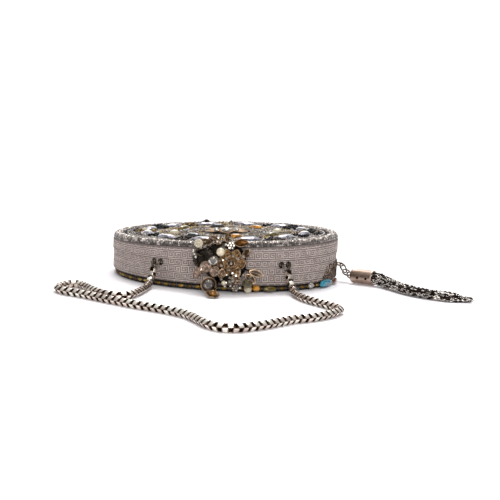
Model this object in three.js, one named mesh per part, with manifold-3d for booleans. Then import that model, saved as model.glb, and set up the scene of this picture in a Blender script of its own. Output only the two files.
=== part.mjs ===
// Round box clutch: a hinged, fabric-covered drum with embroidered faces, a jewelled clasp ornament,
// a box-chain strap lying in front of it and a chain tassel at its right side.
// Millimetres. +Z is up, -Y the front with the ornament, +X the tassel side, Z = 0 the resting surface.
import * as THREE from 'three';
import { mergeVertices } from 'three/addons/utils/BufferGeometryUtils.js';
import Module from 'manifold-3d';

const wasm = await Module();
wasm.setup();

// Driving dimensions of the drum
const BAG_RADIUS = 90;
const WALL_BOTTOM = 4.8;
const WALL_TOP = 32.3;
const WALL_THICKNESS = 2.6;
const PANEL_THICKNESS = 2.2;
const LID_OVERHANG = 0.6;
const EDGE_CHAMFER = 1;
const SEAM_SHARE = 0.635;
const SEAM_GAP = 0.4;
const LID_LEAN = 0.039; // rise of the top per millimetre towards the tassel side
const GAP = 0.3;
const ROUND_SIDES = 44;

// Embroidered faces; a border's section is given by insets from the wall's radius and heights
const PANEL_RADIUS = 81.5;
const TOP_PANEL_RADIUS = 80.5;
const TOP_PANEL_EDGE = 1;
const STONE_SEAT = 34.5;
const BOTTOM_BAND = [
  { inset: 8.2, z: 0.3 },
  { inset: 3.5, z: 0.3 },
  { inset: 2, z: 2.2 },
  { inset: 3.2, z: 4.5 },
  { inset: 8.2, z: 4.5 },
];
const TOP_BAND = [
  { inset: 9.2, z: 32.6 },
  { inset: 0.6, z: 32.6 },
  { inset: 0, z: 33.4 },
  { inset: 1, z: 34.7 },
  { inset: 4, z: 35.7 },
  { inset: 6.5, z: 35.2 },
  { inset: 9.2, z: 34.1 },
];

// Strap, its loops and eyelets
const EYELET_SHARE = 0.53;
const EYELET_BORE = 1.25;
const EYELET_BARREL = 1.65;
const EYELET_FLANGE = 2.4;
const EYELET_DEPTH = 2.2;
const EYELET_FACE = 0.5;
const LOOP_WIRE = 0.7;
const LOOP_DROP = 4.2;
const LOOP_REACH = 4; // from the lower wall to the tip of the loop
const LOOP_KNEES = [-4.2, -1.2, 1.8]; // where the loop bends along each bore, from the lower wall
const CHAIN_SECTION_RADIUS = 2.5;
const CHAIN_STEPS = 66;

// Hinge at the back
const HINGE_LENGTH = 26;
const HINGE_MIDDLE = 10;
const HINGE_OFFSET = 3;
const KNUCKLE_RADIUS = 2.2;
const PIN_RADIUS = 0.9;
const PIN_BORE = 1.25;
const PIN_END = 0.5;
const LEAF_THICKNESS = 1.2;
const LEAF_HEIGHT = 8.5;

// Tassel
const TASSEL_ANGLE = 88;
const TASSEL_SHARE = 0.27;
const CAP_RADIUS = 5.8;
const CAP_WALL = 0.8;
const CAP_LENGTH = 19;
const CAP_CHAMFER = 1.2;
const CAP_FLOOR = 2;
const CAP_CLEARANCE = 0.4; // under the cap, and from the bail's foot into it
const LOCK_RADIUS = 1.8;
const HEAD_RADIUS = 4.5;
const HEAD_ENDS = [-2, 1]; // along the cap, from the root of the locks

const WALL_HEIGHT = WALL_TOP - WALL_BOTTOM;
const SEAM = WALL_BOTTOM + SEAM_SHARE * WALL_HEIGHT;
const Z_AXIS = new THREE.Vector3(0, 0, 1);
const FRONT = new THREE.Vector3(0, -1, 0);
const toRadians = THREE.MathUtils.degToRad;
const vector = (x, y, z) => new THREE.Vector3(x, y, z);

// Colours, roughness and metalness of the materials
const FINISHES = {
  cloth: { color: 0x8c8580, roughness: 0.55, metalness: 0.45 },
  silver_beads: { color: 0x9a958d, roughness: 0.35, metalness: 0.6 },
  gold_beads: { color: 0x5c4218, roughness: 0.35, metalness: 0.5 },
  nickel: { color: 0xa49c90, roughness: 0.25, metalness: 1 },
  gunmetal: { color: 0x4a443d, roughness: 0.3, metalness: 1 },
  antique: { color: 0x6b5a44, roughness: 0.35, metalness: 1 },
  pearl: { color: 0xe6dfd0, roughness: 0.25, metalness: 0 },
  clear: { color: 0xd6d8e0, roughness: 0.05, metalness: 0 },
  lilac: { color: 0xb9b3c9, roughness: 0.06, metalness: 0 },
  amber: { color: 0xb05c12, roughness: 0.08, metalness: 0 },
  olive: { color: 0x57501c, roughness: 0.08, metalness: 0 },
  turquoise: { color: 0x1597ab, roughness: 0.2, metalness: 0 },
  russet: { color: 0x7c3219, roughness: 0.15, metalness: 0 },
  smoke: { color: 0x3d3b3e, roughness: 0.1, metalness: 0 },
};

const clutch = new THREE.Group();

function addPiece(name, finish, geometry) {
  const mesh = new THREE.Mesh(geometry, new THREE.MeshStandardMaterial(FINISHES[finish]));
  mesh.name = name;
  clutch.add(mesh);
}

// Boolean helpers

/** Positions and triangles with shared corners merged and collapsed triangles left out. */
function weld(geometry) {
  const bare = geometry.clone();
  bare.deleteAttribute('normal');
  bare.deleteAttribute('uv');
  const merged = mergeVertices(bare, 1e-4);
  const corners = merged.index.array;
  const triangles = [];
  for (let i = 0; i < corners.length; i += 3) {
    const [a, b, c] = corners.slice(i, i + 3);
    if (a !== b && b !== c && c !== a) triangles.push(a, b, c);
  }
  return { positions: merged.attributes.position.array, triangles };
}

function toSolid(geometry) {
  const { positions, triangles } = weld(geometry);
  const vertProperties = Float32Array.from(positions);
  const triVerts = Uint32Array.from(triangles);
  return new wasm.Manifold(new wasm.Mesh({ numProp: 3, vertProperties, triVerts }));
}

function toGeometry(solid) {
  const mesh = solid.getMesh();
  const geometry = new THREE.BufferGeometry();
  geometry.setAttribute('position', new THREE.BufferAttribute(mesh.vertProperties, 3));
  geometry.setIndex(new THREE.BufferAttribute(mesh.triVerts, 1));
  geometry.computeVertexNormals();
  return geometry;
}

const fuse = (geometries) => geometries.map(toSolid).reduce((whole, next) => whole.add(next));
const cut = (solid, geometries) => geometries.map(toSolid).reduce((rest, tool) => rest.subtract(tool), solid);

// Shape helpers

/** Turned solid about Z from a closed, anticlockwise outline of [radius, z] corners. */
function turned(corners, sides = ROUND_SIDES) {
  const onAxis = corners[0][0] === 0;
  const outline = onAxis ? corners : [...corners, corners[0]];
  const points = outline.map(([r, z]) => new THREE.Vector2(r, z));
  return new THREE.LatheGeometry(points, sides).rotateX(Math.PI / 2);
}

/** Raises points towards the tassel side, not at all at the wall's foot and fully at its top and above. */
function lean(geometry) {
  const position = geometry.attributes.position;
  for (let i = 0; i < position.count; i += 1) {
    const share = THREE.MathUtils.clamp((position.getZ(i) - WALL_BOTTOM) / WALL_HEIGHT, 0, 1);
    position.setZ(i, position.getZ(i) + LID_LEAN * share * position.getX(i));
  }
  return geometry;
}

/** Closed skin through rings with equal numbers of points, anticlockwise, from the back to the front ring. */
function loft(rings) {
  const count = rings[0].length;
  const index = [];
  for (let ring = 0; ring + 1 < rings.length; ring += 1) {
    for (let side = 0; side < count; side += 1) {
      const here = ring * count + side;
      const next = ring * count + ((side + 1) % count);
      index.push(here, next, next + count, here, next + count, here + count);
    }
  }
  const last = (rings.length - 1) * count;
  for (let side = 1; side + 1 < count; side += 1) {
    index.push(0, side + 1, side, last, last + side, last + side + 1);
  }
  const geometry = new THREE.BufferGeometry();
  const positions = rings.flat().flatMap((point) => point.toArray());
  geometry.setAttribute('position', new THREE.Float32BufferAttribute(positions, 3));
  geometry.setIndex(index);
  geometry.computeVertexNormals();
  return geometry;
}

/** One level of a stone or petal: an oval, drawn out to points by sharpness. */
function levelRing({ length, width, sides = 8, sharpness = 0 }, scale, z) {
  return Array.from({ length: sides }, (_, side) => {
    const turn = (2 * Math.PI * side) / sides;
    const bulge = Math.sin(turn) * Math.abs(Math.sin(turn)) ** sharpness;
    return vector((scale * length * Math.cos(turn)) / 2, (scale * width * bulge) / 2, z);
  });
}

/** Faceted stone on its back, with a girdle, a crown of facets and a flat table towards +Z. */
const CUT = { back: 0.7, table: 0.55, girdle: 0.35 };
function cutStone(shape) {
  const { height } = shape;
  return loft([
    levelRing(shape, CUT.back, 0),
    levelRing(shape, 1, CUT.girdle * height),
    levelRing(shape, CUT.table, height),
  ]);
}

/** Thin petal or leaf centred on the origin, its face towards +Z. */
const PETAL = { sides: 6, sharpness: 0.2, face: 0.6 };
function petal(length, width, thickness) {
  const shape = { ...PETAL, length, width };
  const face = (z) => levelRing(shape, PETAL.face, z);
  return loft([face(-thickness / 2), levelRing(shape, 1, 0), face(thickness / 2)]);
}

const bead = (radius) => new THREE.SphereGeometry(radius, 10, 6);

/** Turns a shape made facing +Z by spin degrees, faces it along a direction and moves it to a point. */
function facing(geometry, point, direction, spin = 0) {
  const turn = new THREE.Quaternion().setFromUnitVectors(Z_AXIS, direction.clone().normalize());
  return geometry.rotateZ(toRadians(spin)).applyQuaternion(turn).translate(point.x, point.y, point.z);
}

/** Straight round bar between two points. */
function bar(start, end, radius, sides = 4) {
  const along = end.clone().sub(start);
  const rod = new THREE.CylinderGeometry(radius, radius, along.length(), sides).rotateX(Math.PI / 2);
  return facing(rod, start.clone().add(end).multiplyScalar(0.5), along);
}

/** Bar of a given section along an open curve. */
function sweep(points, radius, sides, steps) {
  const corners = Array.from({ length: sides }, (_, side) => {
    const turn = (2 * Math.PI * (side + 0.5)) / sides;
    return new THREE.Vector2(radius * Math.cos(turn), radius * Math.sin(turn));
  });
  const extrudePath = new THREE.CatmullRomCurve3(points, false, 'centripetal');
  return new THREE.ExtrudeGeometry(new THREE.Shape(corners), { steps, bevelEnabled: false, extrudePath });
}

/** Wire ring along a closed curve. */
function wireRing(curve, wire, segments, sides = 6) {
  const { normals, binormals } = curve.computeFrenetFrames(segments, true);
  const positions = [];
  const index = [];
  for (let step = 0; step < segments; step += 1) {
    const centre = curve.getPointAt(step / segments);
    for (let side = 0; side < sides; side += 1) {
      const turn = (2 * Math.PI * side) / sides;
      const point = centre.clone()
        .addScaledVector(normals[step], wire * Math.cos(turn))
        .addScaledVector(binormals[step], wire * Math.sin(turn));
      positions.push(...point.toArray());
      const next = (side + 1) % sides;
      const ahead = ((step + 1) % segments) * sides;
      const here = step * sides;
      index.push(here + side, here + next, ahead + next, here + side, ahead + next, ahead + side);
    }
  }
  const geometry = new THREE.BufferGeometry();
  geometry.setAttribute('position', new THREE.Float32BufferAttribute(positions, 3));
  geometry.setIndex(index);
  geometry.computeVertexNormals();
  return geometry;
}

/** Oval ring with its long axis along one direction and its short axis near another. */
function ovalRing(end, along, across, { halfLength, halfWidth }) {
  const long = along.clone().normalize();
  const short = across.clone().addScaledVector(long, -across.dot(long)).normalize();
  const centre = end.clone().addScaledVector(long, halfLength);
  const knots = 12;
  const points = Array.from({ length: knots }, (_, step) => {
    const turn = (2 * Math.PI * step) / knots;
    return centre.clone()
      .addScaledVector(long, halfLength * Math.cos(turn))
      .addScaledVector(short, halfWidth * Math.sin(turn));
  });
  return wireRing(new THREE.CatmullRomCurve3(points, true), RING_WIRE, 16, 5);
}

/** Direction out of the wall at an angle from the front, positive towards the tassel side. */
function outward(angle) {
  return vector(Math.sin(toRadians(angle)), -Math.cos(toRadians(angle)), 0);
}

/** Point at a radius and a share of the leaning wall's height. */
function wallPoint(angle, share, radius) {
  const point = outward(angle).multiplyScalar(radius);
  point.z = WALL_BOTTOM + share * (WALL_HEIGHT + LID_LEAN * point.x);
  return point;
}

// Eyelets of the strap, two at each end
const EYELETS = [
  { name: 'eyelet_left_outer', angle: -35.5 },
  { name: 'eyelet_left_inner', angle: -31.7 },
  { name: 'eyelet_right_inner', angle: 27.4 },
  { name: 'eyelet_right_outer', angle: 31.3 },
];
const LOWER_RADIUS = BAG_RADIUS - LID_OVERHANG;

function addShells() {
  const lowerTop = SEAM - SEAM_GAP / 2;
  const lowerInside = LOWER_RADIUS - WALL_THICKNESS;
  const lower = turned([
    [0, WALL_BOTTOM],
    [LOWER_RADIUS - EDGE_CHAMFER, WALL_BOTTOM],
    [LOWER_RADIUS, WALL_BOTTOM + EDGE_CHAMFER],
    [LOWER_RADIUS, lowerTop],
    [lowerInside, lowerTop],
    [lowerInside, WALL_BOTTOM + PANEL_THICKNESS],
    [0, WALL_BOTTOM + PANEL_THICKNESS],
  ]);
  const holes = EYELETS.map(({ angle }) => bar(
    wallPoint(angle, EYELET_SHARE, lowerInside - WALL_THICKNESS),
    wallPoint(angle, EYELET_SHARE, LOWER_RADIUS + WALL_THICKNESS),
    EYELET_BARREL + GAP,
    10,
  ));
  addPiece('lower_shell', 'cloth', toGeometry(cut(toSolid(lean(lower)), holes)));

  const upperBottom = SEAM + SEAM_GAP / 2;
  const upperInside = BAG_RADIUS - WALL_THICKNESS;
  addPiece('upper_shell', 'cloth', lean(turned([
    [0, WALL_TOP - PANEL_THICKNESS],
    [upperInside, WALL_TOP - PANEL_THICKNESS],
    [upperInside, upperBottom],
    [BAG_RADIUS, upperBottom],
    [BAG_RADIUS, WALL_TOP - EDGE_CHAMFER],
    [BAG_RADIUS - EDGE_CHAMFER, WALL_TOP],
    [0, WALL_TOP],
  ])));
}

function addFaces() {
  const underTop = WALL_BOTTOM - GAP;
  addPiece('bottom_panel', 'cloth', turned([
    [0, 0],
    [PANEL_RADIUS - EDGE_CHAMFER / 2, 0],
    [PANEL_RADIUS, EDGE_CHAMFER / 2],
    [PANEL_RADIUS, underTop],
    [0, underTop],
  ]));
  const band = (section) => turned(section.map(({ inset, z }) => [BAG_RADIUS - inset, z]));
  addPiece('bottom_border', 'gold_beads', band(BOTTOM_BAND));
  const overWall = WALL_TOP + GAP;
  addPiece('top_panel', 'cloth', lean(turned([
    [0, overWall],
    [TOP_PANEL_RADIUS, overWall],
    [TOP_PANEL_RADIUS, overWall + TOP_PANEL_EDGE],
    [0, STONE_SEAT - GAP],
  ])));
  addPiece('top_border', 'silver_beads', lean(band(TOP_BAND)));
}

// Main stones of the top face, in two rings round a flower
const TOP_RING = { count: 12, radius: 64, length: 21, width: 9.5, height: 2.8, sharpness: 0.6 };
const TOP_ACCENTS = [
  { finish: 'amber', angle: 10, radius: 42, length: 11, width: 8 },
  { finish: 'olive', angle: 55, radius: 44, length: 14, width: 7 },
  { finish: 'pearl', angle: 100, radius: 42, length: 8, width: 8 },
  { finish: 'amber', angle: 145, radius: 43, length: 12, width: 8 },
  { finish: 'smoke', angle: 190, radius: 44, length: 13, width: 8 },
  { finish: 'olive', angle: 235, radius: 43, length: 14, width: 7 },
  { finish: 'pearl', angle: 280, radius: 42, length: 8, width: 8 },
  { finish: 'smoke', angle: 325, radius: 44, length: 13, width: 8 },
];
const ACCENT_HEIGHT = 3;
const FLOWER = { petals: 6, ring: 11, length: 17, width: 10, thickness: 3, heart: 14, heartHeight: 3.6 };

function addTopStones() {
  for (let stone = 0; stone < TOP_RING.count; stone += 1) {
    const angle = (360 * (stone + 0.5)) / TOP_RING.count;
    const point = outward(angle).multiplyScalar(TOP_RING.radius).setZ(STONE_SEAT);
    const geometry = facing(cutStone(TOP_RING), point, Z_AXIS, angle);
    addPiece(`top_stone_${String(stone + 1).padStart(2, '0')}`, 'lilac', lean(geometry));
  }
  TOP_ACCENTS.forEach(({ finish, angle, radius, length, width }, row) => {
    const point = outward(angle).multiplyScalar(radius).setZ(STONE_SEAT);
    const geometry = facing(cutStone({ length, width, height: ACCENT_HEIGHT }), point, Z_AXIS, angle);
    addPiece(`top_accent_${row + 1}`, finish, lean(geometry));
  });
  const centre = vector(0, 0, STONE_SEAT + FLOWER.thickness / 2);
  const petals = Array.from({ length: FLOWER.petals }, (_, row) => {
    const angle = (360 * row) / FLOWER.petals;
    const point = outward(angle).multiplyScalar(FLOWER.ring).add(centre);
    return facing(petal(FLOWER.length, FLOWER.width, FLOWER.thickness), point, Z_AXIS, angle - 90);
  });
  const heart = cutStone({ length: FLOWER.heart, width: FLOWER.heart, height: FLOWER.heartHeight });
  petals.push(heart.translate(0, 0, STONE_SEAT));
  addPiece('top_flower', 'antique', lean(toGeometry(fuse(petals))));
}

// Stones standing out along the lower edge; the pearl is round, the others are cut
const BOTTOM_STONES = [
  { finish: 'pearl', angle: 10.7, z: 3.2, length: 5.8, width: 5.8 },
  { finish: 'amber', angle: 15, z: 3.4, length: 6, width: 4.6 },
  { finish: 'olive', angle: 21.7, z: 2.7, length: 10.5, width: 4.4 },
  { finish: 'smoke', angle: 35.5, z: 2.4, length: 8, width: 3.8 },
  { finish: 'clear', angle: 46, z: 3.7, length: 6, width: 4.4 },
  { finish: 'turquoise', angle: 59.5, z: 3.4, length: 22, width: 5.6 },
  { finish: 'russet', angle: 73.5, z: 3.1, length: 12, width: 4.6 },
];
const BOTTOM_STONE_HEIGHT = 2.4;

function addBottomStones() {
  BOTTOM_STONES.forEach(({ finish, angle, z, length, width }, row) => {
    const name = `bottom_stone_${row + 1}`;
    if (finish === 'pearl') {
      const point = outward(angle).multiplyScalar(LOWER_RADIUS + GAP + length / 2).setZ(z);
      addPiece(name, finish, facing(bead(length / 2), point, Z_AXIS));
      return;
    }
    const upright = cutStone({ length, width, height: BOTTOM_STONE_HEIGHT }).applyQuaternion(
      new THREE.Quaternion().setFromUnitVectors(Z_AXIS, FRONT),
    );
    const point = outward(angle).multiplyScalar(LOWER_RADIUS + GAP).setZ(z);
    addPiece(name, finish, facing(upright, point, Z_AXIS, angle));
  });
}

// Clasp ornament: places are across, up and out from the front of the wall
const spot = (x, z, out) => vector(x, -BAG_RADIUS - out, z);
const ORNAMENT_PLATE = { radius: 15.5, thickness: 2, x: 0, z: 22, out: 1.6 };
const ROSETTE = { x: 4.3, z: 22.5, heart: 2.4, heartOut: 10 };
const ROSETTE_HUB = [[0, 0], [6, 0], [4, 6], [0, 9]];
const ROSETTE_LAYERS = [
  { petals: 6, ring: 7.2, out: 6.5, length: 9, width: 7.5, tilt: 0.5 },
  { petals: 5, ring: 3.8, out: 8.8, length: 6, width: 5.5, tilt: 0.85 },
];
const LEAVES = [
  { x: 3.8, z: 34.7, out: 7, length: 6.4, width: 6.4, spin: 0, tiltX: 0, tiltZ: 0.3 },
  { x: 10.8, z: 36.6, out: 5.5, length: 10, width: 5.6, spin: 12, tiltX: 0.2, tiltZ: 0.4 },
  { x: 1.4, z: 40, out: 4.5, length: 6.5, width: 4.6, spin: 80, tiltX: 0, tiltZ: 0.5 },
  { x: -7.8, z: 38, out: 4.5, length: 10, width: 5, spin: 150, tiltX: -0.1, tiltZ: 0.4 },
  { x: -14, z: 36.3, out: 4, length: 8, width: 4.6, spin: 170, tiltX: -0.2, tiltZ: 0.3 },
  { x: 15, z: 29.5, out: 4.5, length: 8, width: 5, spin: 60, tiltX: 0.4, tiltZ: 0.2 },
  { x: 22.5, z: 15.4, out: 5.5, length: 10.5, width: 4.6, spin: 0, tiltX: 0.3, tiltZ: 0.1 },
  { x: 18.5, z: 11.5, out: 6, length: 9, width: 5, spin: -30, tiltX: 0.2, tiltZ: -0.1 },
  { x: -13.4, z: 18.8, out: 7, length: 9.5, width: 8, spin: 200, tiltX: -0.3, tiltZ: 0.1 },
  { x: -7, z: 16.2, out: 8.6, length: 8, width: 7, spin: 245, tiltX: -0.1, tiltZ: -0.2 },
  { x: -2.2, z: 15, out: 9.4, length: 7, width: 5, spin: 265, tiltX: 0.1, tiltZ: -0.3 },
  { x: -19, z: 14.5, out: 4.6, length: 9, width: 5, spin: 215, tiltX: -0.4, tiltZ: -0.2 },
  { x: -21.8, z: 27.5, out: 4.4, length: 6.5, width: 4.4, spin: 100, tiltX: -0.3, tiltZ: 0.1 },
  { x: 8, z: 11.4, out: 8, length: 8, width: 6, spin: 280, tiltX: 0.1, tiltZ: -0.3 },
  { x: 8.1, z: 4.6, out: 7.5, length: 5.6, width: 5.6, spin: 0, tiltX: 0, tiltZ: -0.2 },
];
const LEAF_THICK = 1.8;
const STEM_RADIUS = 1.3;
const STEM_FOOT = 0.6; // share of the way from the plate's middle to the place above it
const WREATH = { x: -15.5, z: 25, out: 5, radius: 7, wire: 1.2 };
const CUPS = [
  { x: -11, z: 7.9, out: 18, radius: 5.6, depth: 3.2, stem: 2.2, facing: [-0.1, -0.9, 0.35] },
  { x: -7.7, z: 2.7, out: 26.2, radius: 5, depth: 1.6, stem: 1.6, facing: [0.1, -0.36, 0.9] },
];
// Set stones and beads; one that isn't cupped stands on a stem of its own
const SETTINGS = [
  { name: 'pearl', finish: 'pearl', x: -3.4, z: 30.4, out: 11, radius: 3.1 },
  { name: 'oval_stone', finish: 'clear', x: -8.3, z: 24, out: 10, length: 7.6, width: 5.8, spin: 15 },
  { name: 'cup_stone', finish: 'clear', x: -11, z: 8.1, out: 18.2, length: 6.4, width: 6.4, cupped: true },
  { name: 'amber_bead', finish: 'amber', x: -7.6, z: 3.2, out: 26.5, radius: 2.4, cupped: true },
  { name: 'olive_stone', finish: 'olive', x: 16.5, z: 8.4, out: 9, length: 6.6, width: 5, spin: -20 },
  { name: 'small_pearl', finish: 'pearl', x: -0.4, z: 8.2, out: 10, radius: 1.8 },
  { name: 'bead_cluster', finish: 'pearl', x: -19.4, z: 35.4, out: 5.4, radius: 3.4 },
];
const SETTING_HEIGHT = 3;

/** Shape of a set stone or bead, enlarged all round by a margin to cut its seat. */
function settingShape({ radius, length, width, spin = 0, x, z, out }, margin) {
  if (radius) return facing(bead(radius + margin), spot(x, z, out), FRONT);
  const [across, up, height] = [length, width, SETTING_HEIGHT].map((size) => size + 2 * margin);
  return facing(cutStone({ length: across, width: up, height }), spot(x, z, out - margin), FRONT, spin);
}

/** Two layers of cupped petals round a hub. */
function rosette() {
  const centre = (out) => spot(ROSETTE.x, ROSETTE.z, out);
  const petals = ROSETTE_LAYERS.flatMap(({ petals: count, ring, out, length, width, tilt }, level) => (
    Array.from({ length: count }, (_, row) => {
      const turn = (2 * Math.PI * (row + 0.5 * level)) / count;
      const away = vector(Math.cos(turn), 0, Math.sin(turn));
      const look = FRONT.clone().addScaledVector(away, -tilt);
      const place = centre(out).addScaledVector(away, ring);
      return facing(petal(length, width, LEAF_THICK), place, look, THREE.MathUtils.radToDeg(turn));
    })
  ));
  const hub = facing(turned(ROSETTE_HUB, 8), centre(ORNAMENT_PLATE.out), FRONT);
  const heart = facing(bead(ROSETTE.heart), centre(ROSETTE.heartOut), FRONT);
  return [hub, heart, ...petals];
}

/** Stem from the plate, nearer its middle, to a place in front of it. */
function stem({ x, z, out }, radius) {
  const foot = spot(
    ORNAMENT_PLATE.x + STEM_FOOT * (x - ORNAMENT_PLATE.x),
    ORNAMENT_PLATE.z + STEM_FOOT * (z - ORNAMENT_PLATE.z),
    ORNAMENT_PLATE.out,
  );
  return bar(foot, spot(x, z, out), radius);
}

function ornamentMetal() {
  const { radius, thickness, x, z, out } = ORNAMENT_PLATE;
  const plate = new THREE.CylinderGeometry(radius, radius, thickness, 16).translate(x, -BAG_RADIUS - out, z);
  const leaves = LEAVES.flatMap((leaf) => [
    facing(petal(leaf.length, leaf.width, LEAF_THICK), spot(leaf.x, leaf.z, leaf.out),
      vector(leaf.tiltX, -1, leaf.tiltZ), leaf.spin),
    stem(leaf, STEM_RADIUS),
  ]);
  const wreath = new THREE.TorusGeometry(WREATH.radius, WREATH.wire, 5, 12);
  const cups = CUPS.flatMap((cup) => {
    const outline = [[0, -cup.depth], [0.6 * cup.radius, -0.8 * cup.depth], [cup.radius, 0], [0, 0]];
    return [
      facing(turned(outline, 10), spot(cup.x, cup.z, cup.out), vector(...cup.facing)),
      stem({ ...cup, out: cup.out - cup.depth / 2 }, cup.stem),
    ];
  });
  const wreathTop = { ...WREATH, x: WREATH.x + WREATH.radius };
  return [
    plate,
    ...rosette(),
    ...leaves,
    facing(wreath, spot(WREATH.x, WREATH.z, WREATH.out), FRONT),
    stem(wreathTop, STEM_RADIUS),
    ...cups,
    ...SETTINGS.filter(({ cupped }) => !cupped).map((setting) => stem(setting, STEM_RADIUS)),
  ];
}

function addOrnament() {
  const seats = SETTINGS.map((setting) => settingShape(setting, GAP));
  addPiece('ornament_frame', 'antique', toGeometry(cut(fuse(ornamentMetal()), seats)));
  SETTINGS.forEach((setting) => {
    addPiece(`ornament_${setting.name}`, setting.finish, settingShape(setting, 0));
  });
}

function addEyelets() {
  EYELETS.forEach(({ name, angle }) => {
    const ring = turned([
      [EYELET_BORE, -EYELET_DEPTH],
      [EYELET_BARREL, -EYELET_DEPTH],
      [EYELET_BARREL, GAP],
      [EYELET_FLANGE, GAP],
      [EYELET_FLANGE, GAP + EYELET_FACE],
      [EYELET_BORE, GAP + EYELET_FACE],
    ], 8);
    addPiece(name, 'gunmetal', facing(ring, wallPoint(angle, EYELET_SHARE, LOWER_RADIUS), outward(angle)));
  });
}

/** Ring through two eyelets: along both bores, joined inside the wall and in a V outside it. */
function addStrapLoop(name, firstAngle, secondAngle) {
  const middle = (firstAngle + secondAngle) / 2;
  const bore = (angle) => LOOP_KNEES.map((knee) => wallPoint(angle, EYELET_SHARE, LOWER_RADIUS + knee));
  const tip = wallPoint(middle, EYELET_SHARE, LOWER_RADIUS + LOOP_REACH);
  tip.z -= LOOP_DROP;
  const knots = [...bore(firstAngle), tip, ...bore(secondAngle).reverse()];
  const curve = new THREE.CatmullRomCurve3(knots, true, 'centripetal');
  addPiece(name, 'gunmetal', wireRing(curve, LOOP_WIRE, 22, 5));
}

// Route of the strap's middle line, from the left loop to the right one
const CHAIN_LIE = 2.7;
const STRAP_ROUTE = [
  [-52.1, -78.6, 12.3], [-53, -80, 8.4], [-54, -82.6, 5],
  [-54.7, -88, 3.1], [-55.4, -96, CHAIN_LIE], [-56.5, -106.5, CHAIN_LIE],
  [-58.4, -118, CHAIN_LIE], [-61.3, -129.8, CHAIN_LIE], [-65, -137.6, CHAIN_LIE],
  [-69.8, -140.4, CHAIN_LIE], [-75, -138.7, CHAIN_LIE], [-80.5, -134.5, CHAIN_LIE],
  [-86.5, -126.5, CHAIN_LIE], [-93.1, -113.9, CHAIN_LIE], [-98.6, -103.7, CHAIN_LIE],
  [-104, -97.3, CHAIN_LIE], [-109.2, -97.8, CHAIN_LIE], [-113.2, -104.8, CHAIN_LIE],
  [-115.2, -113.5, CHAIN_LIE], [-114, -121.5, CHAIN_LIE], [-110.3, -127.6, CHAIN_LIE],
  [-104, -132.8, CHAIN_LIE], [-96.4, -138.1, CHAIN_LIE], [-88.8, -144.4, CHAIN_LIE],
  [-81.3, -151.1, CHAIN_LIE], [-74, -157.2, CHAIN_LIE], [-66.9, -162.9, CHAIN_LIE],
  [-56.3, -171.8, CHAIN_LIE], [-46.2, -178.4, CHAIN_LIE], [-36.3, -185.5, CHAIN_LIE],
  [-26.5, -194, CHAIN_LIE], [-19.4, -204.3, CHAIN_LIE], [-13.3, -218, CHAIN_LIE],
  [-7.5, -229.8, CHAIN_LIE], [-0.1, -236.2, CHAIN_LIE], [8, -236, CHAIN_LIE],
  [16.2, -230.6, CHAIN_LIE], [25.3, -222.5, CHAIN_LIE], [34.6, -211.5, CHAIN_LIE],
  [44.2, -200.7, CHAIN_LIE], [54.2, -193.2, CHAIN_LIE], [64.6, -182.5, CHAIN_LIE],
  [72.5, -170.5, CHAIN_LIE], [76.6, -159, CHAIN_LIE], [74.6, -150.6, CHAIN_LIE],
  [68.5, -140.6, CHAIN_LIE], [62.5, -131, CHAIN_LIE], [56.6, -120.5, CHAIN_LIE],
  [52.7, -107, CHAIN_LIE], [50.4, -94.5, 3], [49.2, -88, 5.4],
  [47.8, -84.8, 8.8], [46.4, -82.2, 14.3],
].map((point) => vector(...point));

function addStrap() {
  addEyelets();
  addStrapLoop('strap_loop_left', EYELETS[0].angle, EYELETS[1].angle);
  addStrapLoop('strap_loop_right', EYELETS[2].angle, EYELETS[3].angle);
  addPiece('strap_chain', 'nickel', sweep(STRAP_ROUTE, CHAIN_SECTION_RADIUS, 6, CHAIN_STEPS));
}

// Tassel: a staple on the wall, two rings, the cap and its fringe lying on the surface
const CAP_START = vector(102, -16, CAP_RADIUS + CAP_CLEARANCE);
const CAP_ALONG = vector(0.82, -0.57, 0).normalize();
const BAIL = { radius: 2.6, wire: 0.65 };
const STAPLE = { radius: 2.3, wire: 0.65, plate: 2.3, thickness: 1.2, stand: 1 };
const RING_WIRE = 0.6;
const UPPER_RING = { halfLength: 4.8, halfWidth: 3.4, along: 0.4 };
const LOWER_RING = { halfLength: 3.8, halfWidth: 2.9, along: -0.3, aside: -0.7 };
const FRINGE_LINE = [
  { x: 114.6, y: -24.7, z: 6.2, spread: 2.4, rise: 2.4 },
  { x: 122.2, y: -30.8, z: 5.7, spread: 2.6, rise: 2.3 },
  { x: 128.2, y: -44.5, z: 4.7, spread: 2.9, rise: 2.1 },
  { x: 138.8, y: -67, z: 4, spread: 3, rise: 1.8 },
  { x: 151.4, y: -80.5, z: 3.7, spread: 3, rise: 1.6 },
  { x: 166, y: -88.5, z: 3.5, spread: 3, rise: 1.4 },
  { x: 181.5, y: -91.5, z: 2.4, spread: 2.4, rise: 0.6 },
];
const LOCKS = [
  { across: 0, up: 0, length: 1 },
  { across: 1, up: 0, length: 0.92 },
  { across: 0.5, up: 0.87, length: 0.97 },
  { across: -0.5, up: 0.87, length: 0.94 },
  { across: -1, up: 0, length: 0.9 },
  { across: -0.5, up: -0.87, length: 0.98 },
  { across: 0.5, up: -0.87, length: 0.95 },
];

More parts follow.
